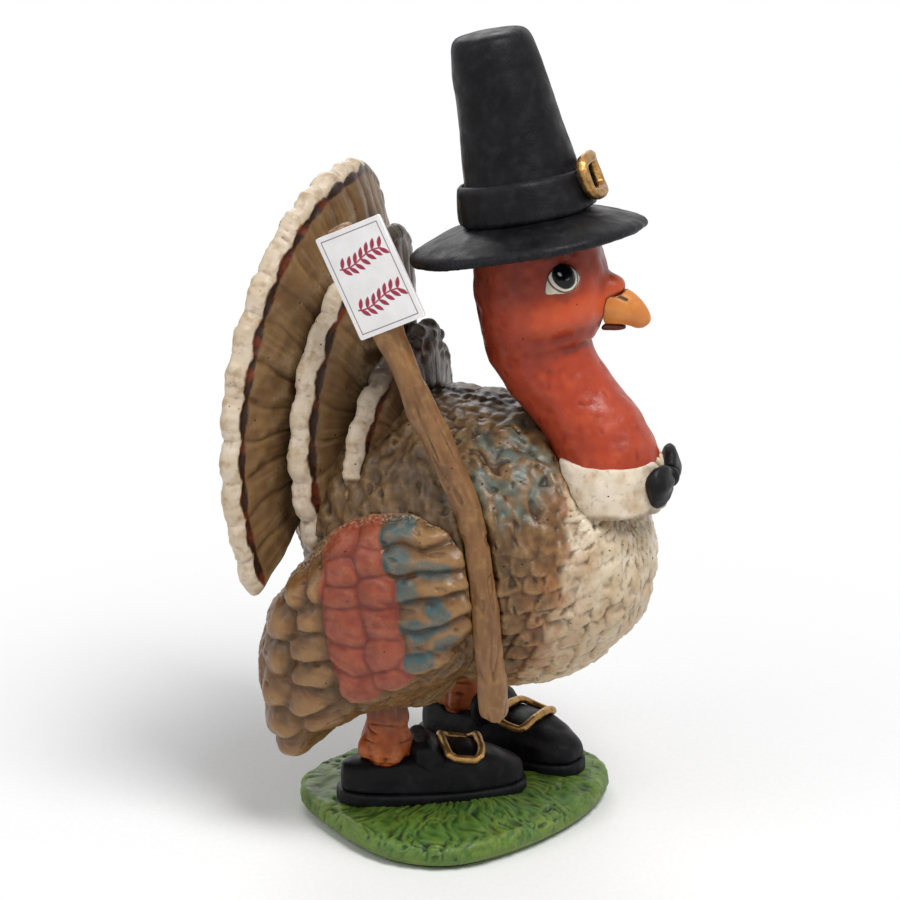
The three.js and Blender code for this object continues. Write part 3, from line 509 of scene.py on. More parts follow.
def gold_finish():
    finish, tree, shader = varnished("worn gold paint", (0.28, 0.5), 3 * MM, metal=0.85)
    gold = two_tone(tree, "74522a", "ab7d42", 4 * MM)
    gold = zoned(tree, gold, "3a2716", "hollow", 0.9)
    gold = dabbed(tree, gold, "4a3218", 0.85, size=2.2 * MM, low=0.54, high=0.7)
    gold = zoned(tree, gold, "e3bd7c", "ridge", 0.8)
    tree.links.new(gold, shader.inputs["Base Color"])
    relief(tree, shader, mottle(tree, 1.2 * MM, low=0.2, high=0.8), 0.12 * MM)
    return finish


buckle_finish = gold_finish()
for node in ("right_shoe_buckle", "left_shoe_buckle", "hat_buckle"):
    buckle = cast_of(node, grain=0.32 * MM, rounds=8)
    raise_skin(buckle, lumps(points_of(buckle), 4 * MM, 21) * 0.2 * MM + 0.22 * MM)
    mark_wash_wear_and_shade(buckle, rounds=10, depth=0.25 * MM)
    dress(buckle, buckle_finish, "gold", node)


# Legs: short resin stubs painted orange, scored round with a tool like scaly skin, and spread into
# a ragged cuff where each one meets its shoe.
def leg_coat(tree):
    orange = two_tone(tree, "9a4518", "b95a24", 6 * MM)
    orange = dabbed(tree, orange, "c4723a", 0.4, size=3 * MM, low=0.5, high=0.75)
    # Painted shade darkens the top of each leg, under the belly.
    return zoned(tree, orange, "3c1a0b", "belly_shadow", 0.85)


CUFF_FOOT = (11.5 * MM, 13.5 * MM)
CUFF_HEAD = (15 * MM, 24 * MM)
BELLY_SHADE = (22 * MM, 33 * MM)
TATTERS = 7
leg_finish = painted(
    "orange leg paint",
    leg_coat,
    wash="3f190a",
    dry="d8905a",
    roughness=0.48,
    wash_share=0.9,
    dry_share=0.4,
    holes=0.03,
)
for side in ("right", "left"):
    leg = cast_of(side + "_leg", grain=0.5 * MM, rounds=10)
    leg_points = points_of(leg)
    leg_low, leg_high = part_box(side + "_leg")
    leg_middle = (leg_low + leg_high) / 2
    leg_turn = np.arctan2(leg_points[:, 1] - leg_middle.y, leg_points[:, 0] - leg_middle.x)
    up = leg_points[:, 2] - leg_low.z
    cuff = eased(up, *CUFF_FOOT) * (1 - eased(up, *CUFF_HEAD))
    tatters = np.sin(leg_turn * TATTERS + lumps(leg_points, 6 * MM, 31) * 2)
    rings = veins(leg_points * [0.4, 0.4, 1.6], 6 * MM, 32, 0.22)
    rings = rings * patches(leg_points, 7 * MM, 34, -0.1, 0.4)
    swells = lumps(leg_points, 5 * MM, 33)
    raise_skin(leg, MM * (0.15 + cuff * (1.1 + 0.7 * tatters) - rings * 0.6 + swells * 0.7))
    # Broad hollows get painted shade and broad crests a painted highlight.
    mark_wash_wear_and_shade(leg, rounds=8, depth=0.18 * MM, broad=24)
    # Painted shade at the top of the leg, under the belly.
    mark(leg, "belly_shadow", eased(up, *BELLY_SHADE))
    dress(leg, leg_finish, "leg", side + "_leg")


# Body: one large casting of breast, back and thighs. Its feathers are pressed in by hand, as rows of
# overlapping scales on the breast and the lower flanks and as rough dabs above them. The breast is
# painted cream, the rest tan with a dark wash and some blue-green, and the spine nearly black.
def bell(gap, width):
    """1 at no gap, fading away about as far as the width."""
    return np.exp(-((gap / width) ** 2))


def shingles(row_place, turn, columns):
    """Height from 0 to 1 of overlapping scales laid in rows, each row half a scale off the last."""
    height = np.zeros(len(row_place))
    for back in range(3):
        row = np.floor(row_place) - back
        cell = turn / (2 * math.pi) * columns + 0.5 * (row % 2)
        column = np.floor(cell)
        chance = np.sin(row * 91.7 + (column % columns) * 47.3 + SCALE_SEED) * 437.585
        chance = chance - np.floor(chance)
        across = 2 * (cell - column) - 1
        along = (row_place - row) / (SCALE_LONG * (0.8 + 0.4 * chance))
        tip = 1 - 0.5 * np.abs(across) ** 1.6
        side = 0.5 + 0.5 * eased(1 - np.abs(across), 0, 0.4)
        swell = (0.2 + 0.8 * np.clip(along / tip, 0, 1) ** 1.3) * (0.72 + 0.28 * chance)
        height = np.maximum(height, eased(tip - along, 0, 0.14) * side * swell)
    return height


def pebbles(points, size, seed):
    """Height from about 0 to 1 of rounded dabs of about that size, pressed softly side by side."""
    spot = np.asarray(points, float) / size + seed * 17.31
    corner = np.floor(spot).astype(np.int64)
    pull = np.zeros(len(spot))
    for step in itertools.product((-1, 0, 1), repeat=3):
        cell = corner + np.array(step)
        middle = cell + np.stack([chance_at(cell + shift) for shift in (0, 101, 907)], 1)
        pull += np.exp(-DAB_EDGE * np.linalg.norm(middle - spot, axis=1))
    return 1 - np.clip(-np.log(pull) / DAB_EDGE, 0, 1) ** 2


SCALE_SEED = 4.0
SCALE_LONG = 1.5
DAB_EDGE = 9
BODY_GRAIN = 0.64 * MM
BODY_MIDDLE = np.array([8, 0, 112.5]) * MM
BODY_HALVES = np.array([70, 50, 54]) * MM
NECK_SEAT = np.array([65, 0, 139]) * MM
ROUND_REACH = 58 * MM
FEATHER_ROWS = 24
FEATHER_COLUMNS = 36
STROKE_LEAN = math.radians(17)
KNOB_WIDE = 4.4 * MM
DAB_WIDE = 4.6 * MM
BLOB_WIDE = 8.5 * MM
SPINE_HALF = (2.5 * MM, 5 * MM)
SPINE_UP = (148 * MM, 154 * MM)
LOWER_FLANK = (112 * MM, 132 * MM)
LOWER_TONE_UP = (88 * MM, 128 * MM)
TEAL_MIDDLE = np.array([32, 0, 150]) * MM
TEAL_HALVES = np.array([23, 1, 18]) * MM
BREAST_FAR = [25, 31, 46, 64, 85, 98, 115]
BREAST_TURN = [2.2, 1.53, 1.17, 0.9, 0.61, 0.38, 0.1]
body = cast_of("body", grain=BODY_GRAIN, rounds=34)
body_points = points_of(body)
pole = (NECK_SEAT - BODY_MIDDLE) / BODY_HALVES
pole = pole / np.linalg.norm(pole)
breast_way = np.array([pole[2], 0, -pole[0]])


def around_neck(points):
    """How far a point of the body lies from the neck, and its turn round it from the breast."""
    out = (points - BODY_MIDDLE) / BODY_HALVES
    out = out / np.linalg.norm(out, axis=1)[:, None]
    lean = np.arccos(np.clip(out @ pole, -1, 1))
    return lean * ROUND_REACH, np.arctan2(out[:, 1], out @ breast_way)


wander = [lumps(body_points, 11 * MM, s) + 0.5 * lumps(body_points, 4 * MM, s) for s in (41, 42, 43)]
strayed = body_points + np.stack(wander, 1) * 1.6 * MM
body_far, body_turn = around_neck(strayed)
plain_far, plain_turn = around_neck(body_points)
feathers = shingles(body_far / (math.pi * ROUND_REACH) * FEATHER_ROWS, body_turn, FEATHER_COLUMNS)
breast_edge = np.interp(plain_far / MM, BREAST_FAR, BREAST_TURN)
past_breast = np.abs(plain_turn) - breast_edge + 0.13 * lumps(body_points, 7 * MM, 44)
breast = 1 - eased(past_breast, -0.1, 0.1)
spine_gap = np.abs(body_points[:, 1]) + 1.5 * MM * lumps(body_points, 6 * MM, 48)
spine = (1 - eased(spine_gap, *SPINE_HALF)) * eased(body_points[:, 2], *SPINE_UP)
flank = (1 - breast) * (1 - spine)
stroke_across = strayed @ np.array([math.cos(STROKE_LEAN), 0, math.sin(STROKE_LEAN)])
stroke_along = strayed @ np.array([-math.sin(STROKE_LEAN), 0, math.cos(STROKE_LEAN)])
tuft_places = np.stack([stroke_across, strayed[:, 1], stroke_along * 0.5], 1)
tufts = lumps(tuft_places, 5 * MM, 45) + 0.5 * lumps(tuft_places, 2.3 * MM, 46)
dabs = pebbles(tuft_places, DAB_WIDE, 47)
pits = patches(tuft_places, 2.6 * MM, 50, 0.45, 0.8)
lower = 1 - eased(body_points[:, 2], *LOWER_FLANK)
blobs = pebbles(strayed, BLOB_WIDE, 54)
patchy = patches(body_points, 13 * MM, 53, -0.4, 0.3)
knobs = pebbles(body_points, KNOB_WIDE, 55)
rough = lumps(body_points, 2.2 * MM, 51)
flank_relief = (1.9 - 0.7 * lower) * (dabs - 0.8) + 0.6 * tufts - 0.9 * pits
flank_relief = flank_relief + lower * (2.0 * feathers - 1.1)
breast_relief = (0.8 + 1.1 * patchy) * feathers + 2.8 * (blobs - 0.85) - 0.7 * pits * patchy - 0.3
body_relief = flank * flank_relief + breast * breast_relief + spine * (3.6 * knobs - 2.6) + 0.25 * rough
raise_skin(body, MM * body_relief)
shape(body, rubbed(body, points_of(body), 1))
# Broad hollows get painted shade and broad crests a painted highlight.
mark_wash_wear_and_shade(body, rounds=6, depth=0.3 * MM, broad=34)
mark(body, "breast", breast)
mark(body, "breast_rim", bell(past_breast, 0.3))
mark(body, "spine", spine)
# The breast is tinted a darker tan towards its bottom.
lower_tone_line = body_points[:, 2] + 6 * MM * lumps(body_points, 10 * MM, 56)
mark(body, "lower_tone", 1 - eased(lower_tone_line, *LOWER_TONE_UP))
teal_gap = (body_points - TEAL_MIDDLE) * [1, 0, 1] / TEAL_HALVES
teal = 1 - eased(np.linalg.norm(teal_gap, axis=1) + 0.25 * lumps(body_points, 8 * MM, 49), 0.5, 1.15)
teal = teal * patches(tuft_places, 4.2 * MM, 52, -0.3, 0.35)
mark(body, "teal", teal * flank)


def feather_coat(tree):
    tan = two_tone(tree, "5a432a", "705435", 8 * MM)
    tan = dabbed(tree, tan, "8f6f47", 0.5, size=3.5 * MM, low=0.5, high=0.72)
    return dabbed(tree, tan, "4a341f", 0.7, size=16 * MM, low=0.5, high=0.7)


def body_coat(tree):
    colour = feather_coat(tree)
    teal_amount = times(tree, marked(tree, "teal"), uneven(tree, 3 * MM, 0.35, 0.85))
    colour = laid_over(tree, colour, pigment("4d6a67"), teal_amount)
    cream = two_tone(tree, "e3d5bd", "c9b596", 10 * MM)
    # A darker tan towards the bottom of the breast.
    cream = zoned(tree, cream, "a88a5e", "lower_tone", 0.45)
    cream = dabbed(tree, cream, "a07a48", 0.55, size=14 * MM, low=0.54, high=0.75)
    cream = dabbed(tree, cream, "7d6140", 0.5, size=2.4 * MM, low=0.57, high=0.75)
    colour = laid_over(tree, colour, cream, marked(tree, "breast"))
    rim_amount = times(tree, marked(tree, "breast_rim"), mottle(tree, 6 * MM, low=0.35, high=0.6))
    colour = laid_over(tree, colour, pigment("98623a"), times(tree, rim_amount, 0.75))
    return zoned(tree, colour, "231c17", "spine", 0.9)


def body_wash(tree):
    return laid_over(tree, pigment("2c1d13"), pigment("5e462b"), marked(tree, "breast"))


def body_dry(tree):
    return laid_over(tree, pigment("b3976d"), pigment("453629"), marked(tree, "spine"))


body_finish = painted(
    "feather paint",
    body_coat,
    wash=body_wash,
    dry=body_dry,
    roughness=0.36,
    wash_share=0.9,
    dry_share=0.4,
    holes=0.2,
    shine=0.3,
)
dress(body, body_finish, "feather", "body")


# Wings: a cushion-shaped casting glued to each flank, modelled as rounded lobes in columns: tan
# fingers at the front with blue-green roots, two columns of brick-red scales, then tan lobes that
# droop to the tip.
def lobe_reach(places, middle, halves, lean):
    """How far places lie out from a lobe's middle, 1 at its edge, and how high up it they are."""
    along = np.array([math.cos(lean), math.sin(lean)])
    gap = places - np.array(middle) * MM
    u = gap @ along / (halves[0] * MM)
    v = gap @ np.array([-along[1], along[0]]) / (halves[1] * MM)
    return (np.abs(u) ** LOBE_BLUNT + np.abs(v) ** LOBE_BLUNT) ** (1 / LOBE_BLUNT), v


def cushions(places, lobes):
    """Height of lobes pressed side by side, fuller at their lower ends, the creases between them and
    the bare ground round them."""
    reaches = []
    heights = []
    for *lobe, tilt in lobes:
        far, v = lobe_reach(places, *lobe)
        reaches.append(far)
        heights.append((1 - 0.5 * np.minimum(far, 1.4) ** 2) * (1 - tilt * np.clip(v, -1.2, 1.2)))
    reaches = np.array(reaches)
    nearest, next_near = np.partition(reaches, 1, axis=0)[:2]
    weights = np.exp(-LOBE_EDGE * (reaches - nearest))
    height = (weights * np.array(heights)).sum(0) / weights.sum(0)
    return height, bell(next_near - nearest, 0.26), eased(nearest, 1.0, 1.4)


LOBE_BLUNT = 2.6
LOBE_EDGE = 7
FINGERS = [
    ((14.7, 132.8), (17.6, 4.9), 0.04),
    ((18.3, 123.8), (20.0, 4.9), 0.12),
    ((22.8, 114.6), (18.6, 4.9), 0.25),
    ((24.2, 105.1), (16.9, 5.3), 0.36),
    ((22.9, 95.1), (15.5, 5.3), 0.48),
    ((17.1, 85.1), (9.8, 5.3), 0.59),
]
ROOTS = [
    ((4.4, 132.5), (6.2, 4.8), 0.17),
    ((5.9, 121.7), (6.2, 4.4), 0.17),
    ((19.9, 120.0), (7.0, 3.6), 0.0),
    ((10.7, 110.8), (5.2, 5.0), 0.17),
    ((21.9, 105.0), (3.6, 5.8), 0.4),
    ((17.2, 97.5), (8.4, 4.2), 0.36),
    ((15.3, 85.0), (6.2, 4.6), 0.17),
    ((24.5, 92.6), (4.4, 2.8), 0.33),
]
BRICKS = [
    ((-19.7, 124.9), (6.7, 6.3), 0.17),
    ((-16.9, 113.4), (6.7, 5.3), 0.17),
    ((-15.3, 104.3), (7.4, 4.6), 0.17),
    ((-13.5, 93.3), (7.4, 6.9), 0.17),
    ((-12.2, 81.0), (7.4, 5.6), 0.17),
    ((-9.8, 68.5), (7.7, 6.6), 0.29),
    ((-6.6, 128.6), (6.3, 5.6), 0.17),
    ((-4.4, 120.1), (7.0, 5.6), 0.17),
    ((-1.2, 109.5), (7.4, 5.9), 0.17),
    ((1.6, 97.1), (7.4, 6.9), 0.17),
    ((2.7, 85.0), (7.4, 5.6), 0.17),
    ((5.0, 74.8), (8.4, 4.3), 0.4),
]
DROOPS = [
    ((-27.3, 106.0), (4.2, 6.9), 0.17),
    ((-28.8, 92.8), (7.0, 6.6), 0.17),
    ((-28.7, 81.4), (8.4, 6.3), 0.23),
    ((-27.9, 70.2), (9.1, 5.3), 0.33),
    ((-31.1, 59.3), (10.5, 4.9), 0.36),
    ((-38.1, 101.9), (5.6, 5.9), 0.17),
    ((-43.8, 89.2), (6.7, 7.2), 0.17),
    ((-44.4, 74.8), (6.3, 6.9), 0.17),
    ((-45.0, 60.1), (8.1, 7.2), 0.17),
    ((-42.7, 47.9), (9.8, 5.6), 0.25),
    ((-38.9, 38.0), (9.8, 5.9), 0.33),
    ((-26.0, 52.3), (9.1, 5.3), 0.48),
]
WING_LOBES = [(*one, 0.42) for one in FINGERS]
WING_LOBES += [(*one, 0.22) for one in BRICKS]
WING_LOBES += [(*one, 0.46) for one in DROOPS]
RED_UP = [59, 64, 78, 91, 109, 120, 134]
RED_REAR = [-14.7, -17, -19.9, -21.1, -25, -28.1, -26]
RED_UP_FRONT = [77, 81, 90, 105, 115, 117, 126, 134]
RED_FRONT = [14.5, 10.7, 9, 8.8, 5.2, 1.8, 0.4, -4.2]
RED_ALONG = [-15, -2.3, 14.4]
RED_LOW = [59.3, 67.4, 77.3]
WING_GRAIN = 0.6 * MM
GRIT_UP = (105 * MM, 122 * MM)


def wing_coat(tree):
    colour = feather_coat(tree)
    colour = dabbed(tree, colour, "80522b", 0.5, size=12 * MM, low=0.3, high=0.65)
    # Painted highlight: the crown of each lobe is paler.
    colour = zoned(tree, colour, "a27b4e", "crown", 0.55)
    teal_amount = times(tree, marked(tree, "teal"), uneven(tree, 4 * MM, 0.6, 1.0))
    colour = laid_over(tree, colour, pigment("33575b"), teal_amount)
    brick = two_tone(tree, "843825", "994b36", 8 * MM)
    brick = dabbed(tree, brick, "ad654b", 0.35, size=4 * MM, low=0.5, high=0.8)
    brick = zoned(tree, brick, "64291b", "crease", 0.3)
    colour = laid_over(tree, colour, brick, marked(tree, "brick"))
    crumbs = times(tree, marked(tree, "grit"), mottle(tree, 1.1 * MM, low=0.5, high=0.56, detail=2.0))
    return laid_over(tree, colour, pigment("bfae92"), times(tree, crumbs, 0.5))


def wing_wash(tree):
    return laid_over(tree, pigment("37240f"), pigment("551c12"), marked(tree, "brick"))


wing_finish = painted(
    "wing paint",
    wing_coat,
    wash=wing_wash,
    dry="ad8558",
    roughness=0.34,
    wash_share=0.7,
    dry_share=0.35,
    holes=0.12,
    shine=0.34,
)
for side, sign in (("right", -1), ("left", 1)):
    wing = cast_of(side + "_wing", grain=WING_GRAIN, rounds=26)
    wing_points = points_of(wing)
    out_sideways = outward(wing)[:, 1] * sign
    facing = eased(out_sideways, -0.25, 0.35)
    drift = np.stack([lumps(wing_points, 8 * MM, s) for s in (51, 52)], 1) * 1.7 * MM
    flat = wing_points[:, [0, 2]] + drift
    cushion, crease, bare = cushions(flat, WING_LOBES)
    brush_places = np.stack([flat[:, 0] * 0.3 + flat[:, 1] * 0.2, flat[:, 1], wing_points[:, 1]], 1)
    brushed = lumps(brush_places, 1.3 * MM, 53) * patches(wing_points, 7 * MM, 57, -0.3, 0.4)
    swells = lumps(wing_points, 3.8 * MM, 54) + 1.6 * bare * (pebbles(wing_points, DAB_WIDE, 58) - 0.8)
    rim = eased(out_sideways, -0.2, 0.1) * (1 - eased(out_sideways, 0.3, 0.6))
    grit = rim * eased(wing_points[:, 2] - 0.5 * wing_points[:, 0], *GRIT_UP)
    crumbs = lumps(wing_points, 1.1 * MM, 56)
    red_rear = np.interp(flat[:, 1] / MM, RED_UP, RED_REAR) * MM
    red_front = np.interp(flat[:, 1] / MM, RED_UP_FRONT, RED_FRONT) * MM
    red_low = np.interp(flat[:, 0] / MM, RED_ALONG, RED_LOW) * MM
    red_gap = np.min([flat[:, 0] - red_rear, red_front - flat[:, 0], flat[:, 1] - red_low], axis=0)
    brick = eased(red_gap, -0.5 * MM, 0.5 * MM) * facing
    relief_by_lobe = (4.0 - 1.8 * brick) * (cushion - 0.65) - 0.15 * crease
    scores = patches(brush_places * [1, 0.6, 1], 1.9 * MM, 59, 0.42, 0.75)
    fine_relief = 0.34 * brushed + (0.62 - 0.2 * brick) * swells - (0.75 - 0.4 * brick) * scores
    raise_skin(wing, MM * (facing * (relief_by_lobe + fine_relief) + 0.5 * grit * crumbs))
    # Broad hollows get painted shade and broad crests a painted highlight.
    mark_wash_wear_and_shade(wing, rounds=9, depth=0.5 * MM, broad=60)
    mark(wing, "brick", brick)
    mark(wing, "crease", crease)
    teal_gap = np.min([lobe_reach(flat, *one)[0] for one in ROOTS], axis=0)
    teal_gap = teal_gap + 0.25 * lumps(wing_points, 3 * MM, 55)
    mark(wing, "teal", (1 - eased(teal_gap, 0.75, 1.2)) * facing)
    # The crown of each lobe, which gets a painted highlight.
    mark(wing, "crown", eased(cushion, 0.75, 1.1) * facing)
    mark(wing, "grit", grit)
    dress(wing, wing_finish, "feather", side + "_wing")


# Tail: three fans of feathers, each pressed in its own mould and glued one before the other. Every
# feather is a tan blade with a thick cream edge that rolls over from front to back, and a dark
# red-brown band is painted along the corner behind the roll.
TAIL_SPREAD = math.radians(126)
TAIL_ROOT = 0.06
TAIL_HALF = 3 * MM
TIP_NOTCH = 1.4 * MM
TIP_ROLL = 3.4 * MM
CREAM_WIDE = 3.5 * MM
BAND_PLACE = 5.0 * MM
FAR_TURN_OVER = 2.8 * MM
RIB_RISE = 0.7 * MM
RIB_PLACES = (0, 0.4, 0.8, 0.94, 1)
RIB_SHARES = (0, 0.9, 1, 0.5, 0)
FINE_EDGE = 17 * MM
COLUMNS_PER_FEATHER = 26
FANS = {
    "outer": dict(x=-44, z=151, wide=65, high=98, feathers=25, sweep=15, bow=17),
    "middle": dict(x=-24.5, z=151, wide=46, high=76, feathers=19, sweep=16.5, bow=6),
    "inner": dict(x=-13, z=140, wide=41, high=50, feathers=15, sweep=8, bow=5),
}
RIBS = {"outer": 1, "middle": 0.8, "inner": 0.2}
SHADED_TOP_TURN = {"outer": 0, "middle": 28, "inner": 50}
DARK_FROM = {"outer": (13, 42), "middle": (8, 28), "inner": (6, 22)}
TAN_ENDS_TURN = (86, 89)
FEATHER_WIDE = 14 * MM


def fan_coat(tree):
    blade = two_tone(tree, "6a4d30", "7f603c", 11 * MM)
    blade = zoned(tree, blade, "977850", "streak", 0.22)
    blade = zoned(tree, blade, "38281a", "shaded", 0.85)
    # Painted shade darkens the top feathers of the middle and inner fans.
    blade = zoned(tree, blade, "33241a", "shaded_top", 0.7)
    teal_amount = times(tree, marked(tree, "teal"), uneven(tree, 3 * MM, 0.2, 0.7))
    blade = laid_over(tree, blade, pigment("4b5b51"), teal_amount)
    cream = two_tone(tree, "ddcebb", "cab79e", 7 * MM)
    cream = dabbed(tree, cream, "9c7d58", 0.7, size=4 * MM, low=0.5, high=0.7)
    # The cream tips of those top feathers get the same painted shade.
    cream = zoned(tree, cream, "2b2018", "shaded_top", 0.94)
    blade = laid_over(tree, blade, cream, marked(tree, "tip"))
    band = two_tone(tree, "29120b", "6f2a14", 9 * MM, low=0.5, high=0.64)
    return laid_over(tree, blade, band, marked(tree, "band"))


def fan_dry(tree):
    # Painted shade: the dry brush is darker on the top feathers of the middle and inner fans.
    return laid_over(tree, pigment("cbb690"), pigment("5b4632"), marked(tree, "shaded_top"))


fan_finish = painted(
    "tail paint",
    fan_coat,
    wash="38281a",
    dry=fan_dry,
    roughness=0.36,
    wash_share=0.75,
    dry_share=0.3,
    holes=0.16,
    shine=0.28,
)
for fan_name, fan in FANS.items():
    columns = fan["feathers"] * COLUMNS_PER_FEATHER
    fan_turn = np.linspace(-TAIL_SPREAD, TAIL_SPREAD, columns + 1)[:, None]
    feather_place = (fan_turn / (2 * TAIL_SPREAD) + 0.5) * fan["feathers"]
    crest = np.abs(np.sin(math.pi * feather_place))
    chance = np.sin(np.floor(feather_place) * 78.233 + fan["feathers"]) * 437.585
    chance = chance - np.floor(chance)
    roll = TIP_ROLL * (0.87 + 0.13 * crest**0.6)
    fan_reach = np.hypot(fan["wide"] * np.sin(fan_turn), fan["high"] * np.cos(fan_turn))
    blade_long = (1 - TAIL_ROOT) * MM * fan_reach
    arc = np.linspace(0, math.pi / 2, 10)[None, :]
    fine = np.linspace(0.06, 1, 26)[None, :]
    coarse = np.linspace(0.045, 1, 22)[None, :] ** 1.1
    fine_end = np.minimum(FINE_EDGE, blade_long * 0.7)
    insets = [roll * (1 - np.cos(arc)), roll + (fine_end - roll) * fine]
    insets.append(fine_end + (blade_long - fine_end) * coarse)
    inset = np.concatenate(insets, 1)
    share = 1 - inset / blade_long
    sway = np.sin(inset / (9 * MM) + 7 * fan_turn)
    bent_place = feather_place + 0.14 * eased(inset, 4 * MM, 14 * MM) * sway
    rib = np.interp(share, RIB_PLACES, RIB_SHARES) * np.abs(np.sin(math.pi * bent_place)) ** 0.8
    seam_gap = np.abs(bent_place - np.round(bent_place))
    crease = bell(seam_gap, 0.08) * eased(inset, 4 * MM, 7 * MM) * (0.3 + 0.5 * chance)
    crease = crease * (0.15 + 0.85 * eased(np.abs(fan_turn), 0.6, 1.3))
    round_tip = np.sqrt(np.clip(roll**2 - (roll - inset) ** 2, 0, None)) - TAIL_HALF
    past_tip = (roll - TAIL_HALF) * (1 - eased(inset, roll, roll + 1.2 * MM))
    rise = np.where(inset < roll, round_tip, past_tip)
    rise = rise - 0.2 * MM * bell(inset - BAND_PLACE, 1.1 * MM)
    rise = rise + RIBS[fan_name] * RIB_RISE * rib * eased(inset, 4.8 * MM, 8.5 * MM) - 0.7 * MM * crease
    both = np.concatenate([inset[:, ::-1], inset[:, 1:]], 1)
    depth = np.concatenate([-rise[:, ::-1], 2 * TAIL_HALF + rise[:, 1:]], 1)
    along = 1 - both / blade_long
    reach = TAIL_ROOT + (1 - TAIL_ROOT) * along
    notch = TIP_NOTCH * (1 - crest) * along
    fan_y = -(fan["wide"] * MM * reach - notch) * np.sin(fan_turn)
    fan_z = fan["z"] * MM + (fan["high"] * MM * reach - notch) * np.cos(fan_turn)
    bowed = fan["bow"] * (1 - along**2) * np.maximum(0, np.cos(fan_turn))
    swept = fan["sweep"] * np.abs(fan_y / (fan["wide"] * MM)) ** 1.5
    fan_x = (fan["x"] + bowed - swept) * MM - depth
    tail = skin_rings(f"tail_fan_{fan_name}_cast", np.stack([fan_x, fan_y, fan_z], -1))

    def on_fan(values):
        """Values of the fan's grid as one row, with a zero for each end point."""
        return np.append(np.broadcast_to(values, both.shape).ravel(), [0, 0])

    front = np.arange(both.shape[1]) < inset.shape[1]
    far_half = eased(-fan_turn, 0.02, 0.3) * (1 - eased(-fan_turn, 0.9, 1.3))
    edge_gap = on_fan(both + far_half * front * (fan_name == "outer") * FAR_TURN_OVER)
    tail_points = points_of(tail)
    across = on_fan(feather_place) * FEATHER_WIDE
    streak_places = np.stack([across, edge_gap * 0.12, on_fan(depth) * 0.2], 1)
    streaks = lumps(streak_places, 1.4 * MM, 61) * eased(edge_gap, 6 * MM, 9 * MM)
    on_rim = 1 - eased(edge_gap, 3 * MM, 5 * MM)
    line_places = np.stack([across, edge_gap * 0.3, on_fan(depth) * 0.3], 1)
    cracks = 0.3 * lumps(tail_points, 2.4 * MM, 62) + 0.28 * lumps(line_places, 1.5 * MM, 67)
    swells = 0.5 * lumps(tail_points, 10 * MM, 63) + 0.3 * lumps(tail_points, 4 * MM, 66)
    turn_at = np.abs(on_fan(np.degrees(fan_turn)))
    # The top feathers of the middle and inner fans get painted shade, and the inner fan's are knobbly
    # near their tips.
    shaded_top_turn = SHADED_TOP_TURN[fan_name]
    in_shaded_top = (1 - eased(turn_at, shaded_top_turn * 0.7, shaded_top_turn * 1.2 + 1)) * (shaded_top_turn > 0)
    knobbly = in_shaded_top * (1 - eased(edge_gap, 4 * MM, 14 * MM)) * (fan_name == "inner")
    swells = swells + 2.0 * knobbly * lumps(tail_points, 3.8 * MM, 68)
    raise_skin(tail, MM * (0.07 * streaks + cracks * on_rim + swells))
    # Broad hollows get painted shade and broad crests a painted highlight.
    mark_wash_wear_and_shade(tail, rounds=6, depth=0.26 * MM, broad=24)
    paint_drift = 0.3 * MM * lumps(tail_points, 3 * MM, 64)
    crest_at = on_fan(crest)
    ends_tan = eased(turn_at, *TAN_ENDS_TURN) * (fan_name == "inner")
    past_cream = eased(edge_gap + paint_drift, CREAM_WIDE, CREAM_WIDE + 0.6 * MM)
    mark(tail, "tip", (1 - past_cream) * (1 - ends_tan))
    band_gap = np.abs(edge_gap - BAND_PLACE + paint_drift) - (0.7 + 1.25 * crest_at**1.2) * MM
    mark(tail, "band", 1 - eased(band_gap, -0.2 * MM, 0.2 * MM))
    mark(tail, "streak", eased(streaks, 0.1, 0.7))
    mark(tail, "shaded", eased(edge_gap / MM, *DARK_FROM[fan_name]))
    mark(tail, "shaded_top", in_shaded_top)
    dab_place = (12 + 7 * on_fan(chance)) * MM
    dab_gap = np.hypot((edge_gap - dab_place) / (4.2 * MM), (on_fan(feather_place % 1) - 0.3) / 0.28)
    dab = 1 - eased(dab_gap + 0.3 * lumps(tail_points, 3 * MM, 65), 0.6, 1.1)
    mark(tail, "teal", dab * eased(on_fan(chance), 0.3, 0.6) * (fan_name == "middle"))
    dress(tail, fan_finish, "fan", "tail_fan_" + fan_name)


# Collar: a broad flat band round the foot of the neck, laid on in one strip with its ends gathered
# under the bow, and painted cream with a thin tan wash and a painted shadow along its lower edge.
def cream_coat(tree):
    cream = two_tone(tree, "e2d3be", "d6c3a8", 8 * MM)
    cream = dabbed(tree, cream, "b3946d", 0.55, size=8 * MM, low=0.5, high=0.72)
    cream = dabbed(tree, cream, "8a6f4c", 0.5, size=2 * MM, low=0.58, high=0.75)
    # Painted shadow along the lower edge, where the collar meets the breast.
    return zoned(tree, cream, "7a5a34", "hem_shadow", 0.85)


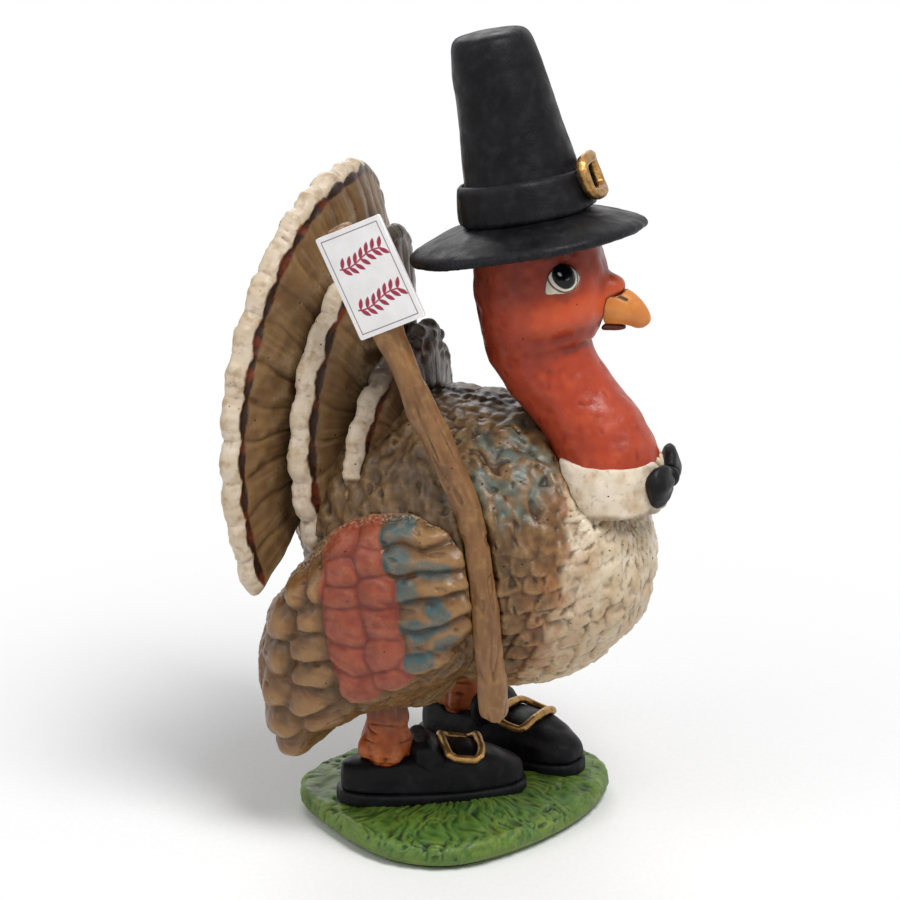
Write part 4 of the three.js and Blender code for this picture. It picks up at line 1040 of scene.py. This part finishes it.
cream_finish = painted(
    "cream paint",
    cream_coat,
    wash="6f5232",
    dry="ece4d4",
    roughness=0.5,
    wash_share=0.85,
    dry_share=0.5,
    holes=0.14,
)
PLEATS = 11
PLEAT_REACH = 13 * MM
collar = cast_of("collar", grain=0.5 * MM, rounds=16)
collar_points = points_of(collar)
collar_low, collar_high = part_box("collar")
knot_low, knot_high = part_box("bow_knot")
knot_middle = np.array((knot_low + knot_high) / 2)
from_knot = collar_points - knot_middle
knot_gap = np.linalg.norm(from_knot, axis=1)
knot_turn = np.arctan2(from_knot[:, 2], np.abs(from_knot[:, 1]))
pleats = np.sin(knot_turn * PLEATS) * bell(knot_gap, PLEAT_REACH)
collar_up = collar_points[:, 2] - collar_low.z
bulge = np.sin(np.clip(collar_up / (collar_high.z - collar_low.z), 0, 1) * math.pi)
collar_rough = lumps(collar_points, 9 * MM, 71) * 0.6 + lumps(collar_points, 3 * MM, 72) * 0.3
raise_skin(collar, MM * (0.3 + 0.5 * bulge + collar_rough + 0.7 * pleats))
mark_wash_wear_and_shade(collar, rounds=10, depth=0.25 * MM)
# Painted shadow along the lower edge of the collar.
hem_up = collar_up + 0.7 * MM * lumps(collar_points, 4 * MM, 73)
mark(collar, "hem_shadow", 1 - eased(hem_up, 0.4 * MM, 2.6 * MM))
dress(collar, cream_finish, "cream", "collar")


# Head and neck: one smooth casting glued over a steel rod into the body, with a fold under the jaw
# and a short fleshy roll over the beak. It is painted brick red, with painted shade under the jaw, at
# the nape and on the temple, a painted shadow under the hat's brim and a painted highlight on the cheek.
HEAD_MIDDLE = np.array([35.5, 0, 212]) * MM
HEAD_TURN = math.radians(15)
HEAD_GRAIN = 0.7 * MM
SNOOD_AHEAD = 28 * MM
SNOOD_UP = 4.5 * MM
JAW_UP = 199
NECK_FOOT = (150 * MM, 168 * MM)
BELOW_JAW = (185 * MM, 196 * MM)
NECK_UP = [140, 160, 190, 215]
NECK_FRONT = [62, 52, 40, 36]
face_way = np.array([math.cos(HEAD_TURN), math.sin(HEAD_TURN), 0])
SET_IN_HEAD = ("right_eye", "left_eye", "right_pupil", "left_pupil")
head = cast_of("head_and_neck", *SET_IN_HEAD, grain=HEAD_GRAIN, rounds=20)
head_points = points_of(head)
snood_middle = HEAD_MIDDLE + face_way * SNOOD_AHEAD + [0, 0, SNOOD_UP]
snood_gap = np.linalg.norm(head_points - snood_middle, axis=1)
near_snood = (1 - eased(snood_gap, 5 * MM, 10 * MM))[:, None]
shape(head, head_points * (1 - near_snood) + rubbed(head, head_points, 60) * near_snood)
head_points = points_of(head)
forward = eased(outward(head) @ face_way, -0.4, 0.5)
jaw_line = (JAW_UP + 3 * eased((head_points - HEAD_MIDDLE) @ face_way, 0, 25 * MM)) * MM
jaw_fold = bell(head_points[:, 2] - jaw_line, 3.6 * MM) * forward
cheek = bell(head_points[:, 2] - jaw_line - 10 * MM, 7 * MM) * forward
foot = 1 - eased(head_points[:, 2], *NECK_FOOT)
neck_marks = lumps(head_points, 9 * MM, 81) * 0.6 + lumps(head_points, 3 * MM, 82) * 0.2
below_jaw = 1 - eased(head_points[:, 2], *BELOW_JAW)
dents = patches(head_points * [1.4, 1.4, 0.8], 4 * MM, 83, 0.5, 0.9) * below_jaw
raise_skin(head, MM * (0.2 - 1.2 * jaw_fold + 0.7 * cheek + 0.5 * foot + neck_marks - 0.26 * dents))
# Broad hollows get painted shade and broad crests a painted highlight.
mark_wash_wear_and_shade(head, rounds=9, depth=0.2 * MM, broad=40)


def near_to(points, others, reach):
    """1 at the others' surface, fading to 0 at that reach."""
    tree = KDTree(len(others))
    for number, spot in enumerate(others):
        tree.insert(spot, number)
    tree.balance()
    gaps = np.array([tree.find(p)[2] for p in points])
    return 1 - eased(gaps, 0.35 * reach, reach)


def fine_points(node, grain):
    """Points over a node's whole surface, no further apart than the grain."""
    corners = points_of(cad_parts[node])
    spots = [corners]
    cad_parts[node].data.calc_loop_triangles()
    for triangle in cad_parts[node].data.loop_triangles:
        a, b, c = corners[list(triangle.vertices)]
        longest = max(np.linalg.norm(side) for side in (b - a, c - a, c - b))
        count = int(longest / grain) + 1
        for i, j in itertools.product(range(count + 1), repeat=2):
            if i + j <= count:
                spots.append((a + (b - a) * i / count + (c - a) * j / count)[None, :])
    return np.concatenate(spots)


head_points = points_of(head)
beak_spots = fine_points("upper_beak", 0.8 * MM)
mark(head, "beak_seam", near_to(head_points, beak_spots, 1.5 * MM))
# Painted shadow under the hat's brim, and painted shade under the jaw, at the nape and on the temple.
hat_line = head_points[:, 2] + 0.2 * (35 * MM - head_points[:, 0])
mark(head, "hat_shadow", eased(hat_line, 226 * MM, 238 * MM))
jaw_shade = bell(head_points[:, 2] - jaw_line + 2 * MM, 5 * MM)
mark(head, "jaw_shade", jaw_shade * (0.5 + 0.5 * forward))
neck_front = np.interp(head_points[:, 2] / MM, NECK_UP, NECK_FRONT) * MM
mark(head, "nape_shade", 1 - eased(head_points[:, 0] - neck_front, -26 * MM, -4 * MM))
# The cheek's brighter orange is a painted highlight on the side of the head that faces forward.
mark(head, "cheek", cheek)
head_ahead = (head_points - HEAD_MIDDLE) @ face_way
temple_shade = eased(head_points[:, 2] - 0.5 * head_ahead, 205 * MM, 228 * MM)
mark(head, "temple_shade", temple_shade * (0.75 + 0.4 * lumps(head_points, 6 * MM, 84)))


def skin_coat(tree):
    red = two_tone(tree, "97321b", "aa3d22", 14 * MM)
    # Painted highlight: a brighter orange on the forward-facing cheek.
    red = zoned(tree, red, "d6572c", "cheek", 0.85)
    red = dabbed(tree, red, "c4572f", 0.35, size=6 * MM, low=0.55, high=0.75)
    # Painted shade under the jaw, at the nape, on the temple and under the hat's brim.
    red = zoned(tree, red, "76261a", "jaw_shade", 0.6)
    red = zoned(tree, red, "661f13", "nape_shade", 0.7)
    red = zoned(tree, red, "702417", "temple_shade", 0.7)
    red = zoned(tree, red, "4a1810", "hat_shadow", 0.8)
    return zoned(tree, red, "3d160d", "beak_seam", 0.9)


skin_finish = painted(
    "red skin paint",
    skin_coat,
    wash="5f1d11",
    dry="cf6a44",
    roughness=0.36,
    wash_share=0.6,
    dry_share=0.25,
    holes=0.05,
    shine=0.3,
)
dress(head, skin_finish, "skin", "head_and_neck")


# Eyes: each is a low almond set into the head, painted cream with a dark outline, and a domed black
# pupil with a white glint is glued on it. Both are glossy.
EYE_OUTLINE = [
    (-6.8, -7.2),
    (-6.9, -4.6),
    (-6.4, -1.8),
    (-4.6, 1.7),
    (-2.4, 3.4),
    (0, 4.0),
    (3.3, 3.3),
    (5.6, 1.2),
    (7.6, -2.0),
    (6.2, -3.6),
    (4, -5.2),
    (0, -6.8),
    (-3.4, -7.2),
]
EYE_MIDDLE = (0.0, -1.9)
EYE_SIDES = 180
EYE_FAR = 25.9
EYE_UP = 225.5
EYE_WAY = math.radians(58)
EYE_SPOT = math.radians(60.6)
EYE_LID = (0.62, 0.95)
RING_LINE = 5.5
PUPIL_LINE = 3.85
PUPIL_RADIUS = 3.8
PUPIL_DOME = 0.85
GLINT_AHEAD = -1.8
GLINT_UP = 1.0
head_faces = [list(p.vertices) for p in head.data.polygons]
skin_tree = BVHTree.FromPolygons(points_of(head).tolist(), head_faces)


def laid_on_head(flat, middle, ahead, out, lift):
    """Places given ahead and up from a middle, dropped onto the head's skin and lifted off it."""
    spots = middle + flat[:, :1] * ahead + flat[:, 1:] * np.array([0, 0, 1.0])
    landed = []
    for spot in spots:
        hit = skin_tree.ray_cast(Vector(spot + out * 30 * MM), Vector(-out))[0]
        landed.append(np.array(hit if hit else spot) + out * lift)
    return np.array(landed)


def domed(name, outline, middle, shares, lifts, seat):
    """A low dome laid on the head in rings, each a share of an outline in millimetres, with its
    places ahead and up from the eye's middle."""
    unit = np.stack([np.cos(eye_turns), np.sin(eye_turns)], 1)
    flats = [unit * (outline * share)[:, None] + middle for share in shares]
    rings = [laid_on_head(flat * MM, *seat, lift * MM) for flat, lift in zip(flats, lifts)]
    return skin_rings(name, np.array(rings)), np.concatenate(flats + [np.array([middle, middle])])


def eye_white_finish():
    finish, tree, shader = varnished("eye enamel", (0.22, 0.34), 2 * MM)
    white = two_tone(tree, "d9cfb8", "c3b79c", 4 * MM)
    ring = laid_over(tree, white, pigment("ded7c6"), marked(tree, "ring"))
    colour = laid_over(tree, ring, pigment("2a0f0a"), marked(tree, "line"))
    tree.links.new(colour, shader.inputs["Base Color"])
    relief(tree, shader, mottle(tree, 1.5 * MM), 0.03 * MM)
    return finish


def pupil_finish():
    finish, tree, shader = varnished("pupil enamel", (0.2, 0.3), 2 * MM, shine=0.25)
    black = two_tone(tree, "070909", "10181a", 3 * MM)
    colour = laid_over(tree, black, pigment("e9e9e4"), marked(tree, "glint"))
    tree.links.new(colour, shader.inputs["Base Color"])
    relief(tree, shader, mottle(tree, 4 * MM), 0.02 * MM)
    return finish


eye_finish = eye_white_finish()
glint_finish = pupil_finish()
outline_x, outline_y = (np.array(EYE_OUTLINE) - EYE_MIDDLE).T
outline_turn = np.arctan2(outline_y, outline_x)
outline_reach = np.hypot(outline_x, outline_y)
turn_order = np.argsort(outline_turn)
eye_turns = np.linspace(-math.pi, math.pi, EYE_SIDES, endpoint=False)
eye_reach = np.interp(eye_turns, outline_turn[turn_order], outline_reach[turn_order], period=2 * math.pi)
for _ in range(3):
    eye_reach = (np.roll(eye_reach, 1) + 2 * eye_reach + np.roll(eye_reach, -1)) / 4
eye_shares = [np.linspace(0.04, 1, 6), np.linspace(0.98, 0.8, 11), np.linspace(0.78, 0.03, 30)]
eye_shares = np.concatenate(eye_shares)
eye_lifts = np.concatenate([np.full(6, -0.8), np.linspace(-0.35, 0.1, 4), np.linspace(0.2, 0.38, 37)])
dome_shares = np.linspace(1, 0.04, 24)
pupil_shares = [0.1, 0.6, 0.97, *dome_shares]
pupil_lifts = [-0.6, -0.6, -0.5, *(0.3 + PUPIL_DOME * np.sqrt(1 - dome_shares**2.2))]
for side, sign in (("right", -1), ("left", 1)):
    eye_way = HEAD_TURN + sign * EYE_WAY
    eye_out = np.array([math.cos(eye_way), math.sin(eye_way), 0])
    eye_ahead = np.array([math.sin(eye_way), -math.cos(eye_way), 0]) * sign
    eye_spot = HEAD_TURN + sign * EYE_SPOT
    eye_from = np.array([EYE_FAR * math.cos(eye_spot), EYE_FAR * math.sin(eye_spot), EYE_UP]) * MM
    seat = (eye_from + HEAD_MIDDLE * [1, 0, 0], eye_ahead, eye_out)
    eye, flats = domed(side + "_eye_cast", eye_reach, EYE_MIDDLE, eye_shares, eye_lifts, seat)
    from_pupil = np.hypot(flats[:, 0], flats[:, 1])
    edge_share = np.append(np.repeat(eye_shares, EYE_SIDES), [0, 0])
    edge_left = (1 - edge_share) * np.append(np.tile(eye_reach, len(eye_shares)), [1, 1])
    lines = 1 - eased(edge_left, *EYE_LID)
    lines = np.maximum(lines, 1 - eased(np.abs(from_pupil - RING_LINE), 0.2, 0.42))
    lines = np.maximum(lines, 1 - eased(np.abs(from_pupil - PUPIL_LINE), 0.12, 0.3))
    mark(eye, "line", lines)
    mark(eye, "ring", 1 - eased(from_pupil, 5.0, 5.3))
    dress(eye, eye_finish, "eye", side + "_eye")
    pupil_edge = np.full(EYE_SIDES, PUPIL_RADIUS)
    pupil, flats = domed(side + "_pupil_cast", pupil_edge, (0, 0), pupil_shares, pupil_lifts, seat)
    glint_gap = np.hypot(flats[:, 0] - GLINT_AHEAD, flats[:, 1] - GLINT_UP)
    mark(pupil, "glint", 1 - eased(glint_gap, 0.35, 0.65))
    dress(pupil, glint_finish, "pupil", side + "_pupil")


# Beak: a hooked upper half and a short lower half, cast apart, glued to the face and painted orange,
# with a cut line for each nostril. The lower half lies in the shade and is painted dark red.
def beak_coat(tree):
    orange = two_tone(tree, "cc7c38", "d98d42", 6 * MM)
    orange = zoned(tree, orange, "c06f34", "beak_tip", 0.7)
    orange = zoned(tree, orange, "7a3416", "beak_edge", 0.8)
    return laid_over(tree, orange, pigment("24100a"), marked(tree, "nostril"))


def lower_beak_coat(tree):
    return two_tone(tree, "4a1c16", "6a2c20", 3 * MM)


beak_finish = painted(
    "orange beak paint",
    beak_coat,
    wash="8a4a20",
    dry="eab47a",
    roughness=0.36,
    wash_share=0.5,
    dry_share=0.3,
    holes=0.01,
)
lower_beak_finish = painted(
    "dark beak paint",
    lower_beak_coat,
    wash="2a0f0b",
    dry="8a4434",
    roughness=0.4,
    wash_share=0.7,
    dry_share=0.3,
    holes=0.0,
)
NOSTRIL_START = np.array([27.4, 213.9])
NOSTRIL_END = np.array([31.8, 211.9])
BEAK_GRAIN = 0.35 * MM
beak = cast_of("upper_beak", grain=BEAK_GRAIN, rounds=14)
beak_points = points_of(beak)
beak_ahead = (beak_points - HEAD_MIDDLE) @ face_way
slit = NOSTRIL_END - NOSTRIL_START
beak_flat = np.stack([beak_ahead, beak_points[:, 2]], 1) / MM - NOSTRIL_START
slit_share = np.clip(beak_flat @ slit / (slit @ slit), 0, 1)
slit_gap = np.linalg.norm(beak_flat - slit_share[:, None] * slit, axis=1)
beak_side = eased(np.abs(outward(beak) @ np.array([-face_way[1], face_way[0], 0])), 0.3, 0.6)
nostril = (1 - eased(slit_gap, 0.25, 0.7)) * beak_side
raise_skin(beak, MM * (0.2 + lumps(beak_points, 5 * MM, 91) * 0.2 - 0.5 * nostril))
mark_wash_wear_and_shade(beak)
mark(beak, "nostril", nostril)
mark(beak, "beak_tip", eased(beak_ahead, beak_ahead.max() - 8 * MM, beak_ahead.max()))
mark(beak, "beak_edge", near_to(points_of(beak), fine_points("head_and_neck", 1.6 * MM), 1.0 * MM))
dress(beak, beak_finish, "beak", "upper_beak")
lower_beak = cast_of("lower_beak", grain=BEAK_GRAIN, rounds=60)
raise_skin(lower_beak, lumps(points_of(lower_beak), 3 * MM, 92) * 0.2 * MM + 0.15 * MM)
mark_wash_wear_and_shade(lower_beak, rounds=6, depth=0.2 * MM)
dress(lower_beak, lower_beak_finish, "skin", "lower_beak")


# Bow: two rounded loops and a knot, cast apart and glued to the front of the collar, with shallow
# folds that run out from the knot. They are painted black with a satin varnish.
def bow_coat(tree):
    return two_tone(tree, "0a0a0b", "141416", 5 * MM)


bow_finish = painted(
    "black bow paint",
    bow_coat,
    wash="050506",
    dry="2a2a2e",
    roughness=0.4,
    wash_share=0.8,
    dry_share=0.3,
    holes=0.0,
    shine=0.16,
)
LOOP_FOLDS = 7
for node in ("bow_knot", "bow_right_loop", "bow_left_loop"):
    bow = cast_of(node, grain=0.4 * MM, rounds=12)
    bow_points = points_of(bow)
    bow_from = bow_points - knot_middle
    folds = np.cos(np.arctan2(bow_from[:, 2], np.abs(bow_from[:, 1]) + 2 * MM) * LOOP_FOLDS)
    folds = folds * (node != "bow_knot")
    raise_skin(bow, MM * (0.2 + 0.35 * folds + lumps(bow_points, 5 * MM, 95) * 0.25))
    mark_wash_wear_and_shade(bow, rounds=8, depth=0.22 * MM)
    dress(bow, bow_finish, "black", node)


# Hat: a tall tapered crown on a wide drooping brim, with a raised band, cast in resin in three parts
# and set on the head by a rod. It is painted black like felt, with grey rubbed on the edges.
for node, grain, rounds, swell in (
    ("hat_brim", 0.8 * MM, 16, 0.25),
    ("hat_crown", 0.8 * MM, 22, 0.3),
    ("hat_band", 0.6 * MM, 12, 0.25),
):
    hat = cast_of(node, grain=grain, rounds=rounds)
    hat_points = points_of(hat)
    dented = lumps(hat_points, 24 * MM, 96) * 0.8 + lumps(hat_points, 9 * MM, 97) * 0.42
    raise_skin(hat, MM * (swell + dented + lumps(hat_points, 2.6 * MM, 98) * 0.08))
    mark_wash_wear_and_shade(hat, rounds=12, depth=0.26 * MM)
    dress(hat, black_finish, "black", node)


# Staff: a peeled stick of two lengths that meet at a crook, cast from real wood with its grain and
# knots, glued along the flank and painted tan with a brown wash.
STAFF_LEAN = math.radians(27.5)
STAFF_ELBOW = np.array([27.5, -45, 142.5]) * MM
STAFF_HALF = 4.6 * MM
KNOTS = ((72, 0.4), (38, -2.2), (-30, -1.4), (-64, 0.6), (98, -1.2))
KNOT_WIDE = 4.2 * MM


def wood_coat(tree):
    drawn_out = mottle(tree, 9 * MM, detail=4.0, stretch=(1, 1, 0.3))
    wood = laid_over(tree, pigment("6f4a2a"), pigment("8a6138"), drawn_out)
    wood = dabbed(tree, wood, "a07c4e", 0.5, size=4 * MM, low=0.52, high=0.75)
    return dabbed(tree, wood, "4e351e", 0.6, size=12 * MM, low=0.5, high=0.7)


wood_finish = painted(
    "wood paint",
    wood_coat,
    wash="2e1c11",
    dry="b8976a",
    roughness=0.46,
    wash_share=0.85,
    dry_share=0.4,
    holes=0.05,
)
staff = cast_of("sign_staff", grain=0.5 * MM, rounds=16)
staff_points = points_of(staff)
upper_way = np.array([-math.sin(STAFF_LEAN), 0, math.cos(STAFF_LEAN)])
staff_from = staff_points - STAFF_ELBOW
on_upper = staff_from[:, 2] > 0
staff_up = np.where(on_upper, staff_from @ upper_way, staff_from[:, 2])
upper_aside = staff_from @ np.array([upper_way[2], 0, -upper_way[0]])
staff_aside = np.where(on_upper, upper_aside, staff_from[:, 0])
grain_places = np.stack([staff_aside, staff_points[:, 1], staff_up * 0.1], 1)
grooves = veins(grain_places, 3.4 * MM, 101, 0.2) * patches(staff_points, 12 * MM, 104, -0.1, 0.5)
bark = lumps(grain_places * [1, 1, 2.5], 2 * MM, 102)
knots = np.zeros(len(staff_points))
for knot_up, knot_turn in KNOTS:
    knot_aside = STAFF_HALF * math.cos(knot_turn)
    knot_near = np.stack([staff_up - knot_up * MM, (staff_aside - knot_aside) * 1.3], 1)
    knots = np.maximum(knots, bell(np.linalg.norm(knot_near, axis=1), KNOT_WIDE))
swerve = lumps(np.stack([staff_up * 0, staff_up * 0, staff_up], 1), 26 * MM, 103)
chips = patches(grain_places * [1, 1, 4], 3 * MM, 105, 0.4, 0.7)
raise_skin(staff, MM * (0.4 + 0.6 * swerve - 0.8 * grooves + 0.45 * bark - 0.5 * chips + 0.9 * knots))
mark_wash_wear_and_shade(staff)
dress(staff, wood_finish, "wood", "sign_staff")


# Card: a small stiff card with rounded corners and a slight curl, glued to the head of the staff. It is
# white and printed on its front with a thin border and two crimson leaf sprigs.
CARD_WIDE = 29 * MM
CARD_HIGH = 40 * MM
CARD_THICK = 1.4 * MM
CARD_GRID = 0.16 * MM
CARD_CORNER = 0.8 * MM
CARD_CURL = 0.5 * MM
BACK_ROWS = 14
SPRIG_ROWS = (7.6, -8.4)
SPRIG_HALF = 10
SPRIG_WAVE = 1.5
SPRIG_BEND = 4.2
SPRIG_THICK = 0.28
LEAF_ROOTS = np.arange(-9.0, 9.1, 3.0)
LEAF_TURNS = (1.05, -0.75)
LEAF_LONG = 4.6
LEAF_HALF = 0.85
BORDER_WIDE = 12.6
BORDER_HIGH = 18.1
BORDER_THICK = 0.16
NO_INK = 9.0
card_low, card_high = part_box("sign_card")
card_middle = np.array((card_low + card_high) / 2)
card_across = np.array([math.cos(STAFF_LEAN), 0, math.sin(STAFF_LEAN)])
card_out = np.array([0, -1.0, 0])
columns = int(CARD_WIDE / CARD_GRID)
rows = int(CARD_HIGH / CARD_GRID)


def card_edge(across):
    """Half the card's height at a place across it, less near its rounded corners."""
    past = np.clip(np.abs(across) - (CARD_WIDE / 2 - CARD_CORNER), 0, CARD_CORNER)
    return CARD_HIGH / 2 - CARD_CORNER + np.sqrt(np.clip(CARD_CORNER**2 - past**2, 0, None))


card_x = np.linspace(-CARD_WIDE / 2, CARD_WIDE / 2, columns)[:, None]
half_high = card_edge(card_x)
up_front = np.linspace(-1, 1, rows)[None, :]
down_back = np.linspace(1, -1, BACK_ROWS)[None, :]
card_y = np.concatenate([half_high * up_front, half_high * down_back], 1)
curl = CARD_CURL * (card_x / (CARD_WIDE / 2)) ** 2 + 0 * card_y
card_side = np.concatenate([np.full(rows, CARD_THICK / 2), np.full(BACK_ROWS, -CARD_THICK / 2)])
card_depth = card_side[None, :] - curl
card_points = (
    card_middle
    + card_x[:, :, None] * card_across
    + card_y[:, :, None] * upper_way
    + card_depth[:, :, None] * card_out
)
card = skin_rings("sign_card_printed", card_points)


def leaf(places, root, turn, long, wide):
    """Gap in millimetres from a pointed leaf, less than 0 inside it."""
    along = np.array([math.cos(turn), math.sin(turn)])
    from_root = places - np.array(root)
    u = from_root @ along / long
    v = np.abs(from_root @ np.array([-along[1], along[0]]))
    return np.where((u > 0) & (u < 1), v - wide * np.sin(math.pi * np.clip(u, 0, 1)) ** 0.8, NO_INK)


card_flat = np.stack([np.broadcast_to(card_x, card_y.shape).ravel(), card_y.ravel()], 1) / MM
card_aside = np.abs(card_flat[:, 0])
ink_gap = np.full(len(card_flat), NO_INK)
for row_y in SPRIG_ROWS:
    stem_y = row_y + SPRIG_WAVE * np.sin(card_flat[:, 0] / SPRIG_BEND)
    stem = np.where(card_aside < SPRIG_HALF, np.abs(card_flat[:, 1] - stem_y) - SPRIG_THICK, NO_INK)
    ink_gap = np.minimum(ink_gap, stem)
    for root_x in LEAF_ROOTS:
        root = (root_x, row_y + SPRIG_WAVE * math.sin(root_x / SPRIG_BEND))
        for turn in LEAF_TURNS:
            ink_gap = np.minimum(ink_gap, leaf(card_flat, root, turn, LEAF_LONG, LEAF_HALF))
border_gap = np.maximum(card_aside - BORDER_WIDE, np.abs(card_flat[:, 1]) - BORDER_HIGH)
printed_side = np.broadcast_to(card_depth + curl > 0, card_y.shape).ravel()
ink = (1 - eased(ink_gap, -0.1, 0.12)) * printed_side
border = (1 - eased(np.abs(border_gap) - BORDER_THICK, -0.08, 0.1)) * printed_side
mark(card, "ink", np.append(ink, [0, 0]))
mark(card, "border", np.append(border, [0, 0]))


def card_finish():
    finish, tree, shader = varnished("printed card", (0.4, 0.52), 3 * MM)
    white = two_tone(tree, "f7f4f4", "f0ecec", 6 * MM)
    colour = laid_over(tree, white, pigment("6b5560"), marked(tree, "border"))
    colour = laid_over(tree, colour, pigment("9c2340"), marked(tree, "ink"))
    tree.links.new(colour, shader.inputs["Base Color"])
    fibres = mottle(tree, 0.6 * MM, low=0.3, high=0.7, detail=5.0)
    pressed = relief(tree, shader, fibres, 0.03 * MM)
    relief(tree, shader, marked(tree, "ink"), 0.05 * MM, pressed)
    return finish


dress(card, card_finish(), "card", "sign_card")


# Rods: plain steel pins that tie the head, the hat and each leg to what carries them. They are cut
# from bar and stay inside the castings, so they only get a drawn steel finish.
steel_finish, steel_tree, steel_shader = new_finish("drawn steel")
DRAWN_LINE = 0.8 * MM
DRAWN_OUT = (1, 1, 0.05)
drawn = mottle(steel_tree, DRAWN_LINE, low=0.3, high=0.7, detail=4.0, stretch=DRAWN_OUT)
steel_colour = laid_over(steel_tree, pigment("8b8c8e"), pigment("b3b4b6"), drawn)
steel_tree.links.new(steel_colour, steel_shader.inputs["Base Color"])
steel_shader.inputs["Metallic"].default_value = 1.0
steel_tree.links.new(remap(steel_tree, drawn, 0, 1, 0.3, 0.45), steel_shader.inputs["Roughness"])
relief(steel_tree, steel_shader, drawn, 0.03 * MM)
for node in ("neck_rod", "hat_rod", "right_leg_rod", "left_leg_rod"):
    cover(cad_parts[node], steel_finish)


# Studio: a pale floor under the figure, a white surround, a broad soft lamp at the front right and
# weaker ones at the left and behind, and a long lens at the photograph's angle.
def seen_rays(tree):
    """1 where the surface is seen straight or in a reflection, 0 where it only lights other things."""
    rays = add_node(tree, "LightPath").outputs
    mirrored = {0: rays["Is Glossy Ray"], 1: rays["Is Transmission Ray"]}
    mirrored = add_node(tree, "Math", mirrored, operation="MAXIMUM").outputs["Value"]
    seen = {0: rays["Is Camera Ray"], 1: mirrored}
    return add_node(tree, "Math", seen, operation="MAXIMUM").outputs["Value"]


def floor_finish():
    finish, tree, shader = varnished("studio floor", (0.85, 0.95), 2 * MM)
    pale = two_tone(tree, "f8f8f8", "f5f5f5", 2 * MM)
    tree.links.new(pale, shader.inputs["Base Color"])
    away = add_node(tree, "VectorMath", {0: places(tree)}, operation="LENGTH").outputs["Value"]
    seen_white = times(tree, seen_rays(tree), remap(tree, away, *WHITE_FROM))
    white = add_node(tree, "Emission", {"Color": pigment("ffffff"), "Strength": 1.0}).outputs["Emission"]
    blend = add_node(tree, "MixShader", {0: seen_white, 1: shader.outputs["BSDF"], 2: white})
    tree.links.new(blend.outputs["Shader"], tree.nodes["Material Output"].inputs["Surface"])
    return finish


FLOOR_HALF = 3.0
WHITE_FROM = (0.1, 0.3)
floor_mesh = bpy.data.meshes.new("studio_floor")
floor_corners = [(x * FLOOR_HALF, y * FLOOR_HALF, 0) for x, y in ((-1, -1), (1, -1), (1, 1), (-1, 1))]
floor_mesh.from_pydata(floor_corners, [], [(0, 1, 2, 3)])
floor = bpy.data.objects.new("studio_floor", floor_mesh)
bpy.context.scene.collection.objects.link(floor)
floor.data.materials.append(floor_finish())

VIEW_TURN = math.radians(27)
VIEW_RISE = math.radians(20.5)
VIEW_FAR = 2.0
LENS_LONG = 216
SENSOR_WIDE = 36
SURROUND_LIGHT = 0.3
LOOK_AT = Vector((-0.002, 0, 0.1438))
view_back = Vector(
    (
        math.sin(VIEW_TURN) * math.cos(VIEW_RISE),
        -math.cos(VIEW_TURN) * math.cos(VIEW_RISE),
        math.sin(VIEW_RISE),
    )
)
view_right = Vector((math.cos(VIEW_TURN), math.sin(VIEW_TURN), 0))
view_up = view_back.cross(view_right)


def soft_lamp(name, right, up, back, size, power):
    """A square lamp at a place given from the camera's view, turned to the figure."""
    lamp = bpy.data.lights.new(name, "AREA")
    lamp.shape = "SQUARE"
    lamp.size = size
    lamp.energy = power
    holder = bpy.data.objects.new(name, lamp)
    holder.location = LOOK_AT + view_right * right + view_up * up + view_back * back
    holder.rotation_euler = (LOOK_AT - holder.location).to_track_quat("-Z", "Y").to_euler()
    bpy.context.scene.collection.objects.link(holder)


soft_lamp("key_lamp", right=0.5, up=1.1, back=1.1, size=0.75, power=22)
soft_lamp("fill_lamp", right=-1.1, up=0.6, back=0.8, size=0.9, power=4)
soft_lamp("back_lamp", right=-0.3, up=1.3, back=-1.0, size=0.9, power=7)

surround = bpy.data.worlds.new("studio_surround")
surround.use_nodes = True
world_tree = surround.node_tree
world_tree.nodes.clear()
ambient = add_node(world_tree, "Background", {"Color": pigment("f7f8fa"), "Strength": SURROUND_LIGHT})
backdrop = add_node(world_tree, "Background", {"Color": pigment("ffffff"), "Strength": 1.0})
joined = add_node(world_tree, "MixShader", {0: seen_rays(world_tree)})
world_tree.links.new(ambient.outputs["Background"], joined.inputs[1])
world_tree.links.new(backdrop.outputs["Background"], joined.inputs[2])
world_out = add_node(world_tree, "OutputWorld")
world_tree.links.new(joined.outputs["Shader"], world_out.inputs["Surface"])
bpy.context.scene.world = surround

lens = bpy.data.cameras.new("photo_lens")
lens.lens = LENS_LONG
lens.sensor_width = SENSOR_WIDE
lens.clip_start = 0.05
camera = bpy.data.objects.new("photo_camera", lens)
camera.matrix_world = Matrix.Translation(LOOK_AT + view_back * VIEW_FAR) @ Matrix(
    (view_right, view_up, view_back)
).transposed().to_4x4()
bpy.context.scene.collection.objects.link(camera)
bpy.context.scene.camera = camera
bpy.context.scene.view_settings.view_transform = "Standard"
